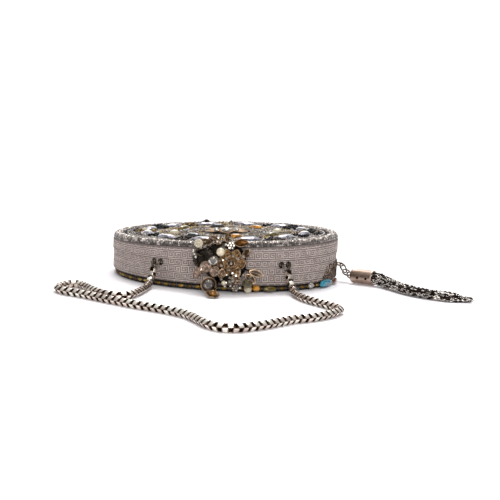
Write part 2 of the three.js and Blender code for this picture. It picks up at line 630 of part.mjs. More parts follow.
function addTassel() {
  const staplePoint = wallPoint(TASSEL_ANGLE, TASSEL_SHARE, LOWER_RADIUS + GAP);
  const out = outward(TASSEL_ANGLE);
  const eye = staplePoint.clone().addScaledVector(out, STAPLE.stand + STAPLE.radius);
  const bailPoint = CAP_START.clone().addScaledVector(CAP_ALONG, CAP_CLEARANCE - BAIL.radius);
  const pull = bailPoint.clone().sub(eye).normalize();
  const side = out.clone().cross(pull).normalize();
  const flat = pull.clone().cross(side);
  addPiece('tassel_loop', 'gunmetal', toGeometry(fuse([
    bar(staplePoint, staplePoint.clone().addScaledVector(out, STAPLE.thickness), STAPLE.plate, 10),
    facing(new THREE.TorusGeometry(STAPLE.radius, STAPLE.wire, 5, 12), eye, side),
  ])));
  const upperEnd = eye.clone().addScaledVector(pull, UPPER_RING.along);
  addPiece('tassel_ring_upper', 'gunmetal', ovalRing(upperEnd, pull, side, UPPER_RING));
  const lowerEnd = bailPoint.clone().addScaledVector(pull, LOWER_RING.along)
    .addScaledVector(flat, LOWER_RING.aside);
  addPiece('tassel_ring_lower', 'gunmetal', ovalRing(lowerEnd, pull.clone().negate(), flat, LOWER_RING));

  const bailAxis = flat.clone().addScaledVector(CAP_ALONG, -flat.dot(CAP_ALONG));
  const cap = turned([
    [0, 0],
    [CAP_RADIUS - CAP_CHAMFER, 0],
    [CAP_RADIUS, CAP_CHAMFER],
    [CAP_RADIUS, CAP_LENGTH],
    [CAP_RADIUS - CAP_WALL, CAP_LENGTH],
    [CAP_RADIUS - CAP_WALL, CAP_FLOOR],
    [0, CAP_FLOOR],
  ], 12);
  addPiece('tassel_cap', 'nickel', toGeometry(fuse([
    facing(cap, CAP_START, CAP_ALONG),
    facing(new THREE.TorusGeometry(BAIL.radius, BAIL.wire, 5, 12), bailPoint, bailAxis),
  ])));

  const across = vector(-CAP_ALONG.y, CAP_ALONG.x, 0);
  const locks = LOCKS.map((lock) => {
    const points = FRINGE_LINE.map(({ x, y, z, spread, rise }, row) => {
      const reach = row + 1 < FRINGE_LINE.length ? 1 : lock.length;
      const root = FRINGE_LINE[0];
      return vector(root.x + reach * (x - root.x), root.y + reach * (y - root.y), z)
        .addScaledVector(across, spread * lock.across)
        .addScaledVector(Z_AXIS, rise * lock.up);
    });
    return sweep(points, LOCK_RADIUS, 6, 8);
  });
  const root = vector(FRINGE_LINE[0].x, FRINGE_LINE[0].y, FRINGE_LINE[0].z);
  const along = (distance) => root.clone().addScaledVector(CAP_ALONG, distance);
  const head = bar(...HEAD_ENDS.map(along), HEAD_RADIUS, 12);
  addPiece('tassel_fringe', 'gunmetal', toGeometry(fuse([head, ...locks])));
}

/** Hinge parts are made along X about their own pin, then tilted with the seam and moved to the back. */
function addHinge() {
  const tilt = new THREE.Quaternion().setFromAxisAngle(vector(0, 1, 0), -Math.atan(LID_LEAN * SEAM_SHARE));
  const axis = vector(0, BAG_RADIUS + HINGE_OFFSET, SEAM);
  const place = (geometry) => geometry.applyQuaternion(tilt).translate(axis.x, axis.y, axis.z);
  const rod = (from, to, radius) => bar(vector(from, 0, 0), vector(to, 0, 0), radius, 12);
  const leafMiddle = -HINGE_OFFSET + GAP + LEAF_THICKNESS / 2;
  const leaf = (side) => new THREE.BoxGeometry(HINGE_LENGTH, LEAF_THICKNESS, LEAF_HEIGHT)
    .translate(0, leafMiddle, side * (LEAF_HEIGHT / 2 + SEAM_GAP));
  const half = HINGE_LENGTH / 2;
  const inner = HINGE_MIDDLE / 2;
  const clearance = KNUCKLE_RADIUS + 2 * GAP;
  const past = half + PIN_END;
  const bore = rod(-past, past, PIN_BORE);

  const baseKnuckles = [rod(-half, -inner - GAP, KNUCKLE_RADIUS), rod(inner + GAP, half, KNUCKLE_RADIUS)];
  const baseLeaf = cut(toSolid(leaf(-1)), [rod(-inner - GAP, inner + GAP, clearance)]);
  const base = baseKnuckles.map(toSolid).reduce((whole, next) => whole.add(next), baseLeaf);
  addPiece('hinge_base', 'gunmetal', place(toGeometry(cut(base, [bore]))));

  const lidRelief = [rod(-past, -inner, clearance), rod(inner, past, clearance)];
  const lid = cut(toSolid(leaf(1)), lidRelief).add(toSolid(rod(-inner, inner, KNUCKLE_RADIUS)));
  addPiece('hinge_lid', 'gunmetal', place(toGeometry(cut(lid, [bore]))));
  addPiece('hinge_pin', 'gunmetal', place(rod(-past, past, PIN_RADIUS)));
}

const CATCH = { width: 16, thickness: 1.2, height: 13, front: 86, bottom: 15.6 };

function addCatch() {
  const { width, thickness, height, front, bottom } = CATCH;
  const plate = new THREE.BoxGeometry(width, thickness, height);
  addPiece('clasp_catch', 'gunmetal', plate.translate(0, -front + thickness / 2, bottom + height / 2));
}

addShells();
addFaces();
addTopStones();
addBottomStones();
addOrnament();
addStrap();
addTassel();
addHinge();
addCatch();

export default clutch;
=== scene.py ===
import math
import random
import re

import bpy
import numpy as np
from mathutils import Matrix, Vector


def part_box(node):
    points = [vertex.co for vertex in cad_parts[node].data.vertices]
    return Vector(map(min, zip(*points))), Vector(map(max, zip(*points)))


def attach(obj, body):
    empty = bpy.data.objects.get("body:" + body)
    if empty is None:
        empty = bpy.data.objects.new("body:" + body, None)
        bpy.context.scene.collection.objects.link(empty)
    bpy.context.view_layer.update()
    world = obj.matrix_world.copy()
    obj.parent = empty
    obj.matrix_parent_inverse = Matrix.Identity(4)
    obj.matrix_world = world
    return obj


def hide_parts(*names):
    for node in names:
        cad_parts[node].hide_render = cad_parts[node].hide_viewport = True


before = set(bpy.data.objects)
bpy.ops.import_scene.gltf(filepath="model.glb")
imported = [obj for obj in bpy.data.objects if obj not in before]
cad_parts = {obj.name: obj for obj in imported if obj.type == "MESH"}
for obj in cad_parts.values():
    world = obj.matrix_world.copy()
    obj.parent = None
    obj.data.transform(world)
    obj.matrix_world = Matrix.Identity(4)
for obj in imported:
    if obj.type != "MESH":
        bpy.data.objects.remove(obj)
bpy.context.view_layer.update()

# Looks of a round box clutch: woven wall, beaded faces, jewelled ornament, box chain and chain tassel
# Shapes are made in millimetres and turned into metres when an object's mesh is made

MM = 0.001
RNG = random.Random(7)
GOLDEN_TURN = 2.399963

# Drum

BAG_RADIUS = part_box("upper_shell")[1].y / MM
LOWER_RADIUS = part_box("lower_shell")[1].y / MM
WALL_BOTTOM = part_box("lower_shell")[0].z / MM
WALL_HEIGHT = 27.5
WALL_TOP = WALL_BOTTOM + WALL_HEIGHT
WALL_THICKNESS = 2.6
PANEL_THICKNESS = 2.2
PANEL_RADIUS = 80.5
LEAN = 0.039
SEAM_SHARE = 0.635
SEAM = WALL_BOTTOM + SEAM_SHARE * WALL_HEIGHT
HALF_SEAM = 0.06
STONE_SEAT = WALL_TOP + 2.2
GAP = 0.3
FRONT = np.array([0.0, -1.0, 0.0])


# Shape helpers: a shape is a pair of a point array and a list of faces

def around(count, offset=0.0):
    """Angles of equal steps round a full turn."""
    return 2 * math.pi * (np.arange(count) + offset) / count


def revolve(profile, segments, loop=False):
    """Turned shape about Z from (radius, z) corners; loop joins the last corner to the first."""
    points, rings = [], []
    for radius, z in profile:
        start = len(points)
        if radius < 1e-6:
            rings.append([start] * segments)
            points.append((0, 0, z))
            continue
        rings.append(list(range(start, start + segments)))
        points.extend((radius * math.sin(turn), -radius * math.cos(turn), z) for turn in around(segments))
    if loop:
        rings.append(rings[0])
    faces = []
    for low, high in zip(rings, rings[1:]):
        for step in range(segments):
            ahead = (step + 1) % segments
            face = list(dict.fromkeys((low[step], low[ahead], high[ahead], high[step])))
            if len(face) > 2:
                faces.append(face)
    return np.array(points, float), faces


def skin(rings, closed=False, caps=False):
    """Faces over rings with equal numbers of points; closed joins the last ring to the first."""
    count = len(rings[0])
    faces = []
    for row in range(len(rings) if closed else len(rings) - 1):
        here, ahead = row * count, (row + 1) % len(rings) * count
        for side in range(count):
            other = (side + 1) % count
            faces.append([here + side, here + other, ahead + other, ahead + side])
    if caps:
        last = (len(rings) - 1) * count
        faces.append(list(range(count))[::-1])
        faces.append([last + side for side in range(count)])
    return np.concatenate(rings), faces


def unit(vector):
    vector = np.asarray(vector, float)
    return vector / max(np.linalg.norm(vector), 1e-12)


def frames(path, closed=False):
    """Tangents, normals and binormals along a path, carried without twisting and closed evenly."""
    path = np.asarray(path, float)
    if closed:
        tangents = np.roll(path, -1, 0) - np.roll(path, 1, 0)
    else:
        tangents = np.gradient(path, axis=0)
    tangents = np.array([unit(t) for t in tangents])
    guess = np.array([0, 0, 1.0]) if abs(tangents[0][2]) < 0.9 else np.array([1.0, 0, 0])
    normals = [unit(guess - tangents[0] * (guess @ tangents[0]))]
    for tangent in tangents[1:]:
        normals.append(unit(normals[-1] - tangent * (normals[-1] @ tangent)))
    normals = np.array(normals)
    binormals = np.cross(tangents, normals)
    if closed:
        carried = unit(normals[-1] - tangents[0] * (normals[-1] @ tangents[0]))
        slip = math.atan2(carried @ binormals[0], carried @ normals[0])
        turns = -slip * np.arange(len(path)) / len(path)
        normals = np.cos(turns)[:, None] * normals + np.sin(turns)[:, None] * binormals
        binormals = np.cross(tangents, normals)
    return tangents, normals, binormals


def tube(path, radius, sides, closed=False):
    """Round bar along a path."""
    _, normals, binormals = frames(path, closed)
    turns = around(sides)
    rings = [point + radius * (np.outer(np.cos(turns), n) + np.outer(np.sin(turns), b))
             for point, n, b in zip(np.asarray(path, float), normals, binormals)]
    return skin(rings, closed=closed, caps=not closed)


def ball(sides=8, rows=5):
    """Ball of radius 1."""
    rises = [math.pi * row / rows for row in range(1, rows)]
    return revolve([(0, -1), *((math.sin(rise), -math.cos(rise)) for rise in rises), (0, 1)], sides)


def oval(length, width, z, turns, sharpness=0.0):
    """Level ring of points, drawn out to two tips where it has sharpness."""
    bulge = np.sin(turns) * np.abs(np.sin(turns)) ** sharpness
    return np.stack([length / 2 * np.cos(turns), width / 2 * bulge, np.full(len(turns), z)], 1)


# Scale, height and turn in steps of a cut stone's back, both edges of its girdle, its crown and its table
GEM_LEVELS = ((0.62, 0, 0), (1, 0.28, 0), (1, 0.36, 0), (0.8, 0.76, 0.5), (0.56, 1, 0))


def gem(length, width, height, sides=12, sharpness=0.0):
    """Cut stone on its back with a table towards +Z, two rows of crown facets and a girdle."""
    levels = [oval(scale * length, scale * width, rise * height, around(sides, offset), sharpness)
              for scale, rise, offset in GEM_LEVELS]
    girdle, crown, table = 2 * sides, 3 * sides, 4 * sides
    faces = [list(range(sides))[::-1], list(range(table, table + sides))]
    for side in range(sides):
        ahead = (side + 1) % sides
        for low in (0, sides):
            faces.append([low + side, low + ahead, low + sides + ahead, low + sides + side])
        faces.append([girdle + side, girdle + ahead, crown + side])
        faces.append([girdle + ahead, crown + ahead, crown + side])
        faces.append([crown + side, crown + ahead, table + ahead])
        faces.append([crown + side, table + ahead, table + side])
    return np.concatenate(levels), faces


def dome(length, width, height, sides=16, rows=5):
    """Smooth cabochon on its flat back."""
    rings = []
    for row in range(rows + 1):
        rise = 0.5 * math.pi * row / rows
        scale = max(math.cos(rise), 0.02)
        rings.append(oval(scale * length, scale * width, height * math.sin(rise), around(sides)))
    return skin(rings, caps=True)


LEAF_CUP, LEAF_CURL = 0.2, 0.3
CURL_START = 0.35
EDGE_STEPS = 12


def leaf_half(width, share):
    """Half width of a leaf at a share of its length."""
    return width / 2 * math.sin(math.pi * (0.04 + 0.94 * share)) ** 0.75


def leaf(length, width, cup=LEAF_CUP, curl=LEAF_CURL, thickness=0.7, rows=9, columns=6):
    """Thin petal along X, hollowed across, curled at the tip, with a raised midrib."""
    across = 2 * np.arange(columns + 1) / columns - 1
    rings = []
    for share in np.arange(rows + 1) / rows:
        rise = cup * width * across * across * math.sin(math.pi * share)
        rise += curl * length * (share - CURL_START) ** 2
        rise += 0.06 * width * np.maximum(0.0, 1 - 4 * np.abs(across)) * (1 - share)
        along = np.full(columns + 1, (share - 0.5) * length)
        upper = np.stack([along, leaf_half(width, share) * across, rise], 1)
        rings.append(np.concatenate([upper, upper[::-1] - (0, 0, thickness)]))
    return skin(rings, caps=True)


def leaf_edge(length, width, wire, cup=LEAF_CUP, curl=LEAF_CURL):
    """Wire round the edge of a leaf."""
    points = leaf(length, width, cup, curl, 0.1, EDGE_STEPS, 2)[0].reshape(EDGE_STEPS + 1, 6, 3)
    return tube(np.concatenate([points[:, 0], points[::-1, 2]]), wire, 6, closed=True)


def oval_link(length, width, wire, steps, sides):
    return tube(oval(length, width, 0, around(steps)), wire, sides, closed=True)


def about_z(angle):
    return np.array(Matrix.Rotation(math.radians(angle), 3, "Z"))


def facing(direction, spin=0.0):
    """Turn that points +Z along a direction after a spin about Z in degrees."""
    turn = Vector((0, 0, 1)).rotation_difference(Vector(unit(direction)))
    return np.array(turn.to_matrix() @ Matrix.Rotation(math.radians(spin), 3, "Z"))


def placed(shape, point=(0, 0, 0), turn=None, scale=1.0):
    points, faces = shape
    points = points * scale
    if turn is not None:
        points = points @ np.asarray(turn).T
    return points + np.asarray(point, float), faces


def offset(point, turn, *local):
    """Point moved by a local step in a turned frame."""
    return point + turn @ np.array(local)


def leaned(shape):
    """Raises a shape towards the tassel side, by nothing at the wall's foot and fully at its top."""
    points = shape[0].copy()
    share = np.clip((points[:, 2] - WALL_BOTTOM) / WALL_HEIGHT, 0, 1)
    points[:, 2] += LEAN * share * points[:, 0]
    return points, shape[1]


def outward(angle, radius=1.0, z=0.0):
    """Point, or direction, at an angle in degrees from the front, positive towards the tassel."""
    turn = math.radians(angle)
    return np.array([radius * math.sin(turn), -radius * math.cos(turn), z])


def wall_point(angle, share, radius):
    """Point at a share of the leaning wall's height."""
    point = outward(angle, radius)
    point[2] = WALL_BOTTOM + share * (WALL_HEIGHT + LEAN * point[0])
    return point


def mix(t, low, high, first, second):
    """Point between two, at t on the way from low to high."""
    return (high - t) / (high - low) * first + (t - low) / (high - low) * second


def smooth_path(knots, step, closed=False):
    """Centripetal curve through knots, as points about one step apart."""
    knots = [np.asarray(k, float) for k in knots]
    if closed:
        padded = [knots[-1], *knots, knots[0], knots[1]]
    else:
        padded = [2 * knots[0] - knots[1], *knots, 2 * knots[-1] - knots[-2]]
    dense = []
    for p0, p1, p2, p3 in zip(padded, padded[1:], padded[2:], padded[3:]):
        t1 = np.linalg.norm(p1 - p0) ** 0.5
        t2 = t1 + np.linalg.norm(p2 - p1) ** 0.5
        t3 = t2 + np.linalg.norm(p3 - p2) ** 0.5
        for t in np.linspace(t1, t2, 24, endpoint=False):
            a1 = mix(t, 0, t1, p0, p1)
            a2 = mix(t, t1, t2, p1, p2)
            a3 = mix(t, t2, t3, p2, p3)
            dense.append(mix(t, t1, t2, mix(t, 0, t2, a1, a2), mix(t, t1, t3, a2, a3)))
    dense.append(knots[0] if closed else knots[-1])
    dense = np.array(dense)
    lengths = np.concatenate([[0], np.cumsum(np.linalg.norm(np.diff(dense, axis=0), axis=1))])
    count = max(2, round(lengths[-1] / step))
    marks = np.linspace(0, lengths[-1], count + 1)
    if closed:
        marks = marks[:-1]
    return np.stack([np.interp(marks, lengths, dense[:, axis]) for axis in range(3)], 1)


def new_object(name, points, faces):
    """Object in the scene from points in millimetres."""
    mesh = bpy.data.meshes.new(name)
    mesh.from_pydata(np.asarray(points) * MM, [], faces)
    obj = bpy.data.objects.new(name, mesh)
    bpy.context.scene.collection.objects.link(obj)
    return obj


class Pile:
    """Shapes gathered for one piece, each with a material, a tint and smooth or flat faces."""

    def __init__(self, *materials):
        self.materials = materials
        self.points, self.faces, self.tints, self.slots, self.smooth = [], [], [], [], []
        self.count = 0

    def add(self, shape, tint=1.0, slot=0, smooth=True):
        """Adds a shape; its tint and its slot may each be one value or a list with one for each face."""
        points, faces = shape
        self.points.append(points)
        self.faces.extend([index + self.count for index in face] for face in faces)
        self.count += len(points)
        colours = tint if isinstance(tint, list) else [tint] * len(faces)
        self.tints.extend((c, c, c) if np.isscalar(c) else c for c in colours)
        self.slots.extend(slot if isinstance(slot, list) else [slot] * len(faces))
        self.smooth.extend([smooth] * len(faces))
        return self

    def add_stone(self, shape, slot=0, low=0.25, high=1.35):
        """Cut stone whose facets are each lighter or darker, as the light inside it makes them."""
        return self.add(shape, [RNG.uniform(low, high) for _ in shape[1]], slot, smooth=False)

    def piece(self, name, body, slot, *nodes):
        """Makes the object, rides it on its body and lets it stand for its CAD nodes."""
        obj = new_object(name, np.concatenate(self.points), self.faces)
        mesh = obj.data
        for material in self.materials:
            mesh.materials.append(MATERIALS[material])
        mesh.polygons.foreach_set("use_smooth", self.smooth)
        mesh.polygons.foreach_set("material_index", self.slots)
        tints = mesh.attributes.new("tint", "FLOAT_COLOR", "FACE")
        tints.data.foreach_set("color", np.c_[np.array(self.tints), np.ones(len(self.tints))].ravel())
        mesh.validate()
        mesh.update()
        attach(obj, body)
        if nodes:
            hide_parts(*nodes)
        return obj


BEAD = ball()
SMALL_BEAD = ball(6, 4)
TINY_BEAD = ball(5, 3)
ROUND_STONE = ball(20, 12)


# Materials

class Web:
    """Node tree with short ways to add nodes."""

    def __init__(self, tree):
        self.tree = tree

    def node(self, kind, inputs=None, **settings):
        """New node; each of its inputs is linked to a socket or set to a value."""
        made = self.tree.nodes.new(kind)
        for key, value in settings.items():
            setattr(made, key, value)
        for key, value in (inputs or {}).items():
            if isinstance(value, bpy.types.NodeSocket):
                self.tree.links.new(value, made.inputs[key])
            else:
                made.inputs[key].default_value = value
        return made

    def math(self, operation, *values):
        return self.node("ShaderNodeMath", dict(enumerate(values)), operation=operation).outputs[0]

    def ramp(self, source, *stops):
        made = self.node("ShaderNodeValToRGB", {"Fac": source})
        elements = made.color_ramp.elements
        while len(elements) < len(stops):
            elements.new(0.5)
        for element, (position, colour) in zip(elements, stops):
            element.position = position
            element.color = (*colour, 1)
        return made.outputs["Color"]


class Surface(Web):
    """Principled material with patches of a darker and a lighter colour."""

    def __init__(self, name, patches, wear, dark, light, tinted=True, **sockets):
        self.material = bpy.data.materials.new(name)
        self.material.use_nodes = True
        super().__init__(self.material.node_tree)
        self.shader = self.tree.nodes["Principled BSDF"]
        for socket, value in sockets.items():
            self.shader.inputs[socket.replace("_", " ")].default_value = value
        self.place = self.node("ShaderNodeTexCoord").outputs["Object"]
        colour = self.ramp(self.noise(*patches), (0.5 - wear, dark), (0.5 + wear, light))
        if tinted:
            tint = self.node("ShaderNodeAttribute", attribute_name="tint").outputs["Color"]
            inputs = {"Factor": 1.0, 6: colour, 7: tint}
            colour = self.node("ShaderNodeMix", inputs, data_type="RGBA", blend_type="MULTIPLY").outputs[2]
        self.to_shader(colour, "Base Color")

    def to_shader(self, source, socket):
        self.tree.links.new(source, self.shader.inputs[socket])

    def noise(self, scale, detail, roughness=0.55, stretch=None):
        place = self.place
        if stretch:
            place = self.node("ShaderNodeMapping", {"Vector": place, "Scale": stretch}).outputs[0]
        inputs = {"Vector": place, "Scale": scale, "Detail": detail, "Roughness": roughness}
        return self.node("ShaderNodeTexNoise", inputs).outputs["Fac"]

    def ribs(self, across, up):
        """Woven height of the wall: ribs round the drum and ribs up it, from 0 to 1."""
        x, y, z = self.node("ShaderNodeSeparateXYZ", {0: self.place}).outputs
        angle = self.math("ARCTAN2", x, self.math("MULTIPLY", y, -1.0))
        upright = self.math("SINE", self.math("MULTIPLY", angle, across))
        level = self.math("SINE", self.math("MULTIPLY", z, up))
        woven = self.math("MULTIPLY", upright, level)
        return self.math("ADD", self.math("MULTIPLY", woven, 0.5), 0.5)

    def bump(self, height, strength, distance):
        made = self.node("ShaderNodeBump", {"Height": height, "Strength": strength, "Distance": distance})
        self.to_shader(made.outputs[0], "Normal")
        return self.material

    def gloss(self, source, low, high):
        """Roughness from low to high by a value from 0 to 1."""
        made = self.node("ShaderNodeMapRange", {"Value": source, "To Min": low, "To Max": high})
        self.to_shader(made.outputs[0], "Roughness")
        return self.material


def wall_cloth():
    s = Surface("wall_cloth", (90, 4, 0.55, (1, 1, 0.4)), 0.25, (0.15, 0.123, 0.112), (0.215, 0.18, 0.165),
                Roughness=0.7, Specular_IOR_Level=0.05)
    weave = s.ribs(1150.0, 13000.0)
    s.gloss(weave, 0.5, 0.7)
    return s.bump(weave, 0.5, 0.00018)


def wall_thread():
    s = Surface("wall_thread", (400, 2), 0.2, (0.40, 0.333, 0.306), (0.55, 0.468, 0.431),
                Metallic=0.1, Roughness=0.55, Specular_IOR_Level=0.12)
    return s.bump(s.ribs(3400.0, 9000.0), 0.5, 0.0001)


def lining_cloth():
    """Plain cloth with the streaks of slubbed yarn."""
    slubs = (650, 3, 0.55, (0.05, 1, 0.5))
    s = Surface("lining_cloth", slubs, 0.2, (0.065, 0.056, 0.051), (0.16, 0.141, 0.13),
                Roughness=0.6, Sheen_Weight=0.3)
    return s.bump(s.noise(*slubs), 0.5, 0.0003)


def panel_cloth():
    s = Surface("panel_cloth", (120, 4), 0.2, (0.04, 0.035, 0.03), (0.11, 0.10, 0.09), tinted=False,
                Metallic=0.35, Roughness=0.55)
    return s.bump(s.noise(1800, 3), 0.5, 0.0002)


def bead_glass(name, metallic, coat, rough):
    s = Surface(name, (700, 2), 0.2, (0.7, 0.7, 0.7), (1, 1, 1), Metallic=metallic, Coat_Weight=coat,
                Coat_Roughness=0.05, Specular_IOR_Level=coat)
    return s.gloss(s.noise(500, 2), *rough)


def stone(name, colour, metallic, coat):
    s = Surface(name, (260, 2), 0.15, [0.55 * c for c in colour], colour, Metallic=metallic, Roughness=0.06,
                Coat_Weight=coat, Coat_Roughness=0.03)
    return s.gloss(s.noise(350, 2), 0.03, 0.12)


def pearl_lustre():
    s = Surface("pearl", (180, 3), 0.2, (0.46, 0.39, 0.26), (0.62, 0.55, 0.41), Roughness=0.2,
                Coat_Weight=1.0, Coat_Roughness=0.04)
    return s.bump(s.noise(900, 2), 0.08, 0.0001)


def metal(name, dark, light, rough=(0.15, 0.4), grain=500, wear=0.25, tinted=True):
    """Plated metal, worn lighter and darker in patches, with fine scratches."""
    s = Surface(name, (grain * 0.4, 4, 0.6), wear, dark, light, tinted, Metallic=1.0)
    s.gloss(s.noise(grain, 3), *rough)
    return s.bump(s.noise(grain * 4, 2, stretch=(1, 1, 0.15)), 0.12, 0.00008)


MATERIALS = {
    "wall": wall_cloth(),
    "thread": wall_thread(),
    "lining": lining_cloth(),
    "panel": panel_cloth(),
    "beads": bead_glass("bead_glass", 0.6, 0.25, (0.1, 0.32)),
    "dark_beads": bead_glass("dark_bead_glass", 0.5, 0.08, (0.25, 0.5)),
    "pearl": pearl_lustre(),
    "nickel": metal("nickel", (0.83, 0.715, 0.625), (0.97, 0.885, 0.80), (0.14, 0.34)),
    "gunmetal": metal("gunmetal", (0.085, 0.065, 0.048), (0.27, 0.225, 0.18)),
    "satin": metal("satin_metal", (0.32, 0.228, 0.175), (0.52, 0.40, 0.33), (0.3, 0.5)),
    "hardware": metal("hardware", (0.09, 0.08, 0.07), (0.24, 0.22, 0.195), tinted=False),
    "dark_chain": metal("dark_chain", (0.14, 0.13, 0.12), (0.60, 0.565, 0.525), (0.12, 0.34)),
    "antique": metal("antique_metal", (0.22, 0.128, 0.066), (0.68, 0.475, 0.315), (0.18, 0.45), 420, 0.2),
    "clear": stone("clear_stone", (0.70, 0.66, 0.60), 0.75, 0.4),
    "lilac": stone("lilac_stone", (0.40, 0.37, 0.43), 0.5, 0.15),
    "amber": stone("amber_stone", (0.62, 0.26, 0.015), 0.2, 0.25),
    "olive": stone("olive_stone", (0.15, 0.11, 0.012), 0.15, 0.25),
    "turquoise": stone("turquoise_stone", (0.004, 0.31, 0.46), 0.0, 0.1),
    "russet": stone("russet_stone", (0.20, 0.045, 0.02), 0.1, 0.2),
    "smoke": stone("smoke_stone", (0.04, 0.04, 0.045), 0.3, 0.3),
    "topaz": stone("topaz_petal", (0.50, 0.31, 0.15), 0.4, 0.15),
    "rosy": stone("rosy_petal", (0.46, 0.32, 0.25), 0.3, 0.2),
}


def stone_slot(finish):
    return "pearl" if finish == "pearl" else f"{finish}_stone"


# Camera, floor and light

CAMERA_PLACE = (0, -804.3, 113.9)
CAMERA_YAW, CAMERA_PITCH, CAMERA_ROLL = -0.0246, 0.1148, 0.0459
CAMERA_LENS, SENSOR_WIDTH = 72.0, 36.0
FLOOR_HALF, FLOOR_Z = 40000, -0.2
FLOOR_COLOURS = ((0.93, 0.905, 0.935), (0.955, 0.93, 0.96))
# Kind, place in metres, energy, and an area light's size or a sun's angle
LIGHTS = {"fill": ("AREA", (0.06, -1.3, 0.45), 10.5, 0.6), "top": ("SUN", (0.05, 0.7, 1.2), 2.5, 0.6)}
# Brightness of the world from front to back, and from below to above
WORLD_DEPTH = ((0.0, 0.02), (0.5, 0.06), (0.9, 0.22), (0.97, 1.05))
WORLD_HEIGHT = ((0.49, 0.0), (0.5, 0.9), (0.54, 0.9), (0.565, 0.04), (0.8, 0.42), (1.0, 0.9))


def add_camera():
    data = bpy.data.cameras.new("camera")
    data.lens, data.sensor_width = CAMERA_LENS, SENSOR_WIDTH
    data.clip_start, data.clip_end = 0.01, 50
    camera = bpy.data.objects.new("camera", data)
    camera.matrix_world = Matrix.Translation(Vector(CAMERA_PLACE) * MM)
    for angle, axis in ((CAMERA_YAW, "Z"), (math.pi / 2 - CAMERA_PITCH, "X"), (CAMERA_ROLL, "Z")):
        camera.matrix_world @= Matrix.Rotation(angle, 4, axis)
    bpy.context.scene.collection.objects.link(camera)
    bpy.context.scene.camera = camera


def add_light(name, kind, place, energy, softness):
    """Light aimed at the drum."""
    data = bpy.data.lights.new(name, kind)
    data.energy = energy
    setattr(data, "angle" if kind == "SUN" else "size", softness)
    light = bpy.data.objects.new(name, data)
    light.location = place
    light.rotation_euler = (-Vector(place)).to_track_quat("-Z", "Y").to_euler()
    bpy.context.scene.collection.objects.link(light)


def add_world():
    """White behind and above, dark behind the camera, so that metal shows both."""
    world = bpy.data.worlds.new("studio")
    bpy.context.scene.world = world
    world.use_nodes = True
    web = Web(world.node_tree)
    place = web.node("ShaderNodeTexCoord").outputs["Generated"]
    parts = web.node("ShaderNodeSeparateXYZ", {0: place})
    levels = []
    for axis, stops in (("Y", WORLD_DEPTH), ("Z", WORLD_HEIGHT)):
        share = web.node("ShaderNodeMapRange", {"Value": parts.outputs[axis], "From Min": -1})
        levels.append(web.ramp(share.outputs[0], *((position, [level] * 3) for position, level in stops)))
    web.tree.links.new(web.math("ADD", *levels), web.tree.nodes["Background"].inputs["Color"])


def add_stage():
    bpy.context.scene.view_settings.view_transform = "Standard"
    corners = [(x * FLOOR_HALF, y * FLOOR_HALF, 0) for x, y in ((-1, -1), (1, -1), (1, 1), (-1, 1))]
    floor = new_object("floor", corners, [(0, 1, 2, 3)])
    floor.location.z = FLOOR_Z * MM
    surface = Surface("floor", (2, 2), 0.2, *FLOOR_COLOURS, tinted=False, Roughness=0.9)
    floor.data.materials.append(surface.material)
    add_world()
    for name, light in LIGHTS.items():
        add_light(name, *light)


# Wall cloth: two hollow halves, with the key pattern woven over them in raised thread

EYELET_ANGLES = {"left_outer": -35.5, "left_inner": -31.7, "right_inner": 27.4, "right_outer": 31.3}
EYELET_SHARE = 0.53
EYELET_BORE, EYELET_BARREL, EYELET_FLANGE = 1.25, 1.65, 2.4
KEY_CHART = (
    "#######.",
    "#.....#.",
    "#.###.#.",
    "#.#...#.",
    "#.#####.",
    "#.......",
    "########",
    "........",
)
KEY_CELLS, KEY_ROWS, KEY_SHIFT = 104, 40, 4
THREAD_RISE, UPRIGHT_RISE, THREAD_SINK, THREAD_TAPER = 0.15, 0.11, 0.05, 0.16
WALL_SIDES = 240
RIM_EDGE = 0.15
FACE_ROUND, ROUND_STEP = 1, 0.3


def runs(line):
    """Start and length of each run of raised thread in a chart line, at least two long."""
    return [(run.start(), len(run[0])) for run in re.finditer("##+", line)]


def add_thread(pile, left, low, wide, tall, radius, rise):
    """Raised bar on the wall over a patch of chart units."""
    unit_angle = 360.0 / (KEY_CELLS * len(KEY_CHART[0]))
    corners = []
    for lift, inset in ((-THREAD_SINK, 0.0), (rise, THREAD_TAPER)):
        for side, level in ((0, 0), (1, 0), (1, 1), (0, 1)):
            across = left + (wide - inset if side else inset)
            up = low + (tall - inset if level else inset)
            corners.append(wall_point(across * unit_angle, up / KEY_ROWS, radius + lift))
    faces = [[4, 5, 6, 7], [0, 1, 5, 4], [1, 2, 6, 5], [2, 3, 7, 6], [3, 0, 4, 7]]
    pile.add((np.array(corners), faces), RNG.uniform(0.72, 1.12), smooth=False)


def weave_keys(pile, first, last, radius):
    """Key pattern over chart rows from first to last, counted up from the wall's foot."""
    tall, wide = len(KEY_CHART), len(KEY_CHART[0])
    for block in range((first + KEY_SHIFT) // tall, (last + KEY_SHIFT) // tall + 1):
        chart = [row[::-1] for row in KEY_CHART] if block % 2 else KEY_CHART
        origin = block * tall - KEY_SHIFT
        for left in range(0, KEY_CELLS * wide, wide):
            for row, line in enumerate(chart, origin):
                if first <= row < last:
                    for start, length in runs(line):
                        add_thread(pile, left + start, row, length, 1, radius, THREAD_RISE)
            for column in range(wide):
                for start, length in runs("".join(row[column] for row in chart)):
                    low = max(first, origin + start)
                    high = min(last, origin + start + length)
                    if high - low > 1:
                        add_thread(pile, left + column, low, 1, high - low, radius, UPRIGHT_RISE)


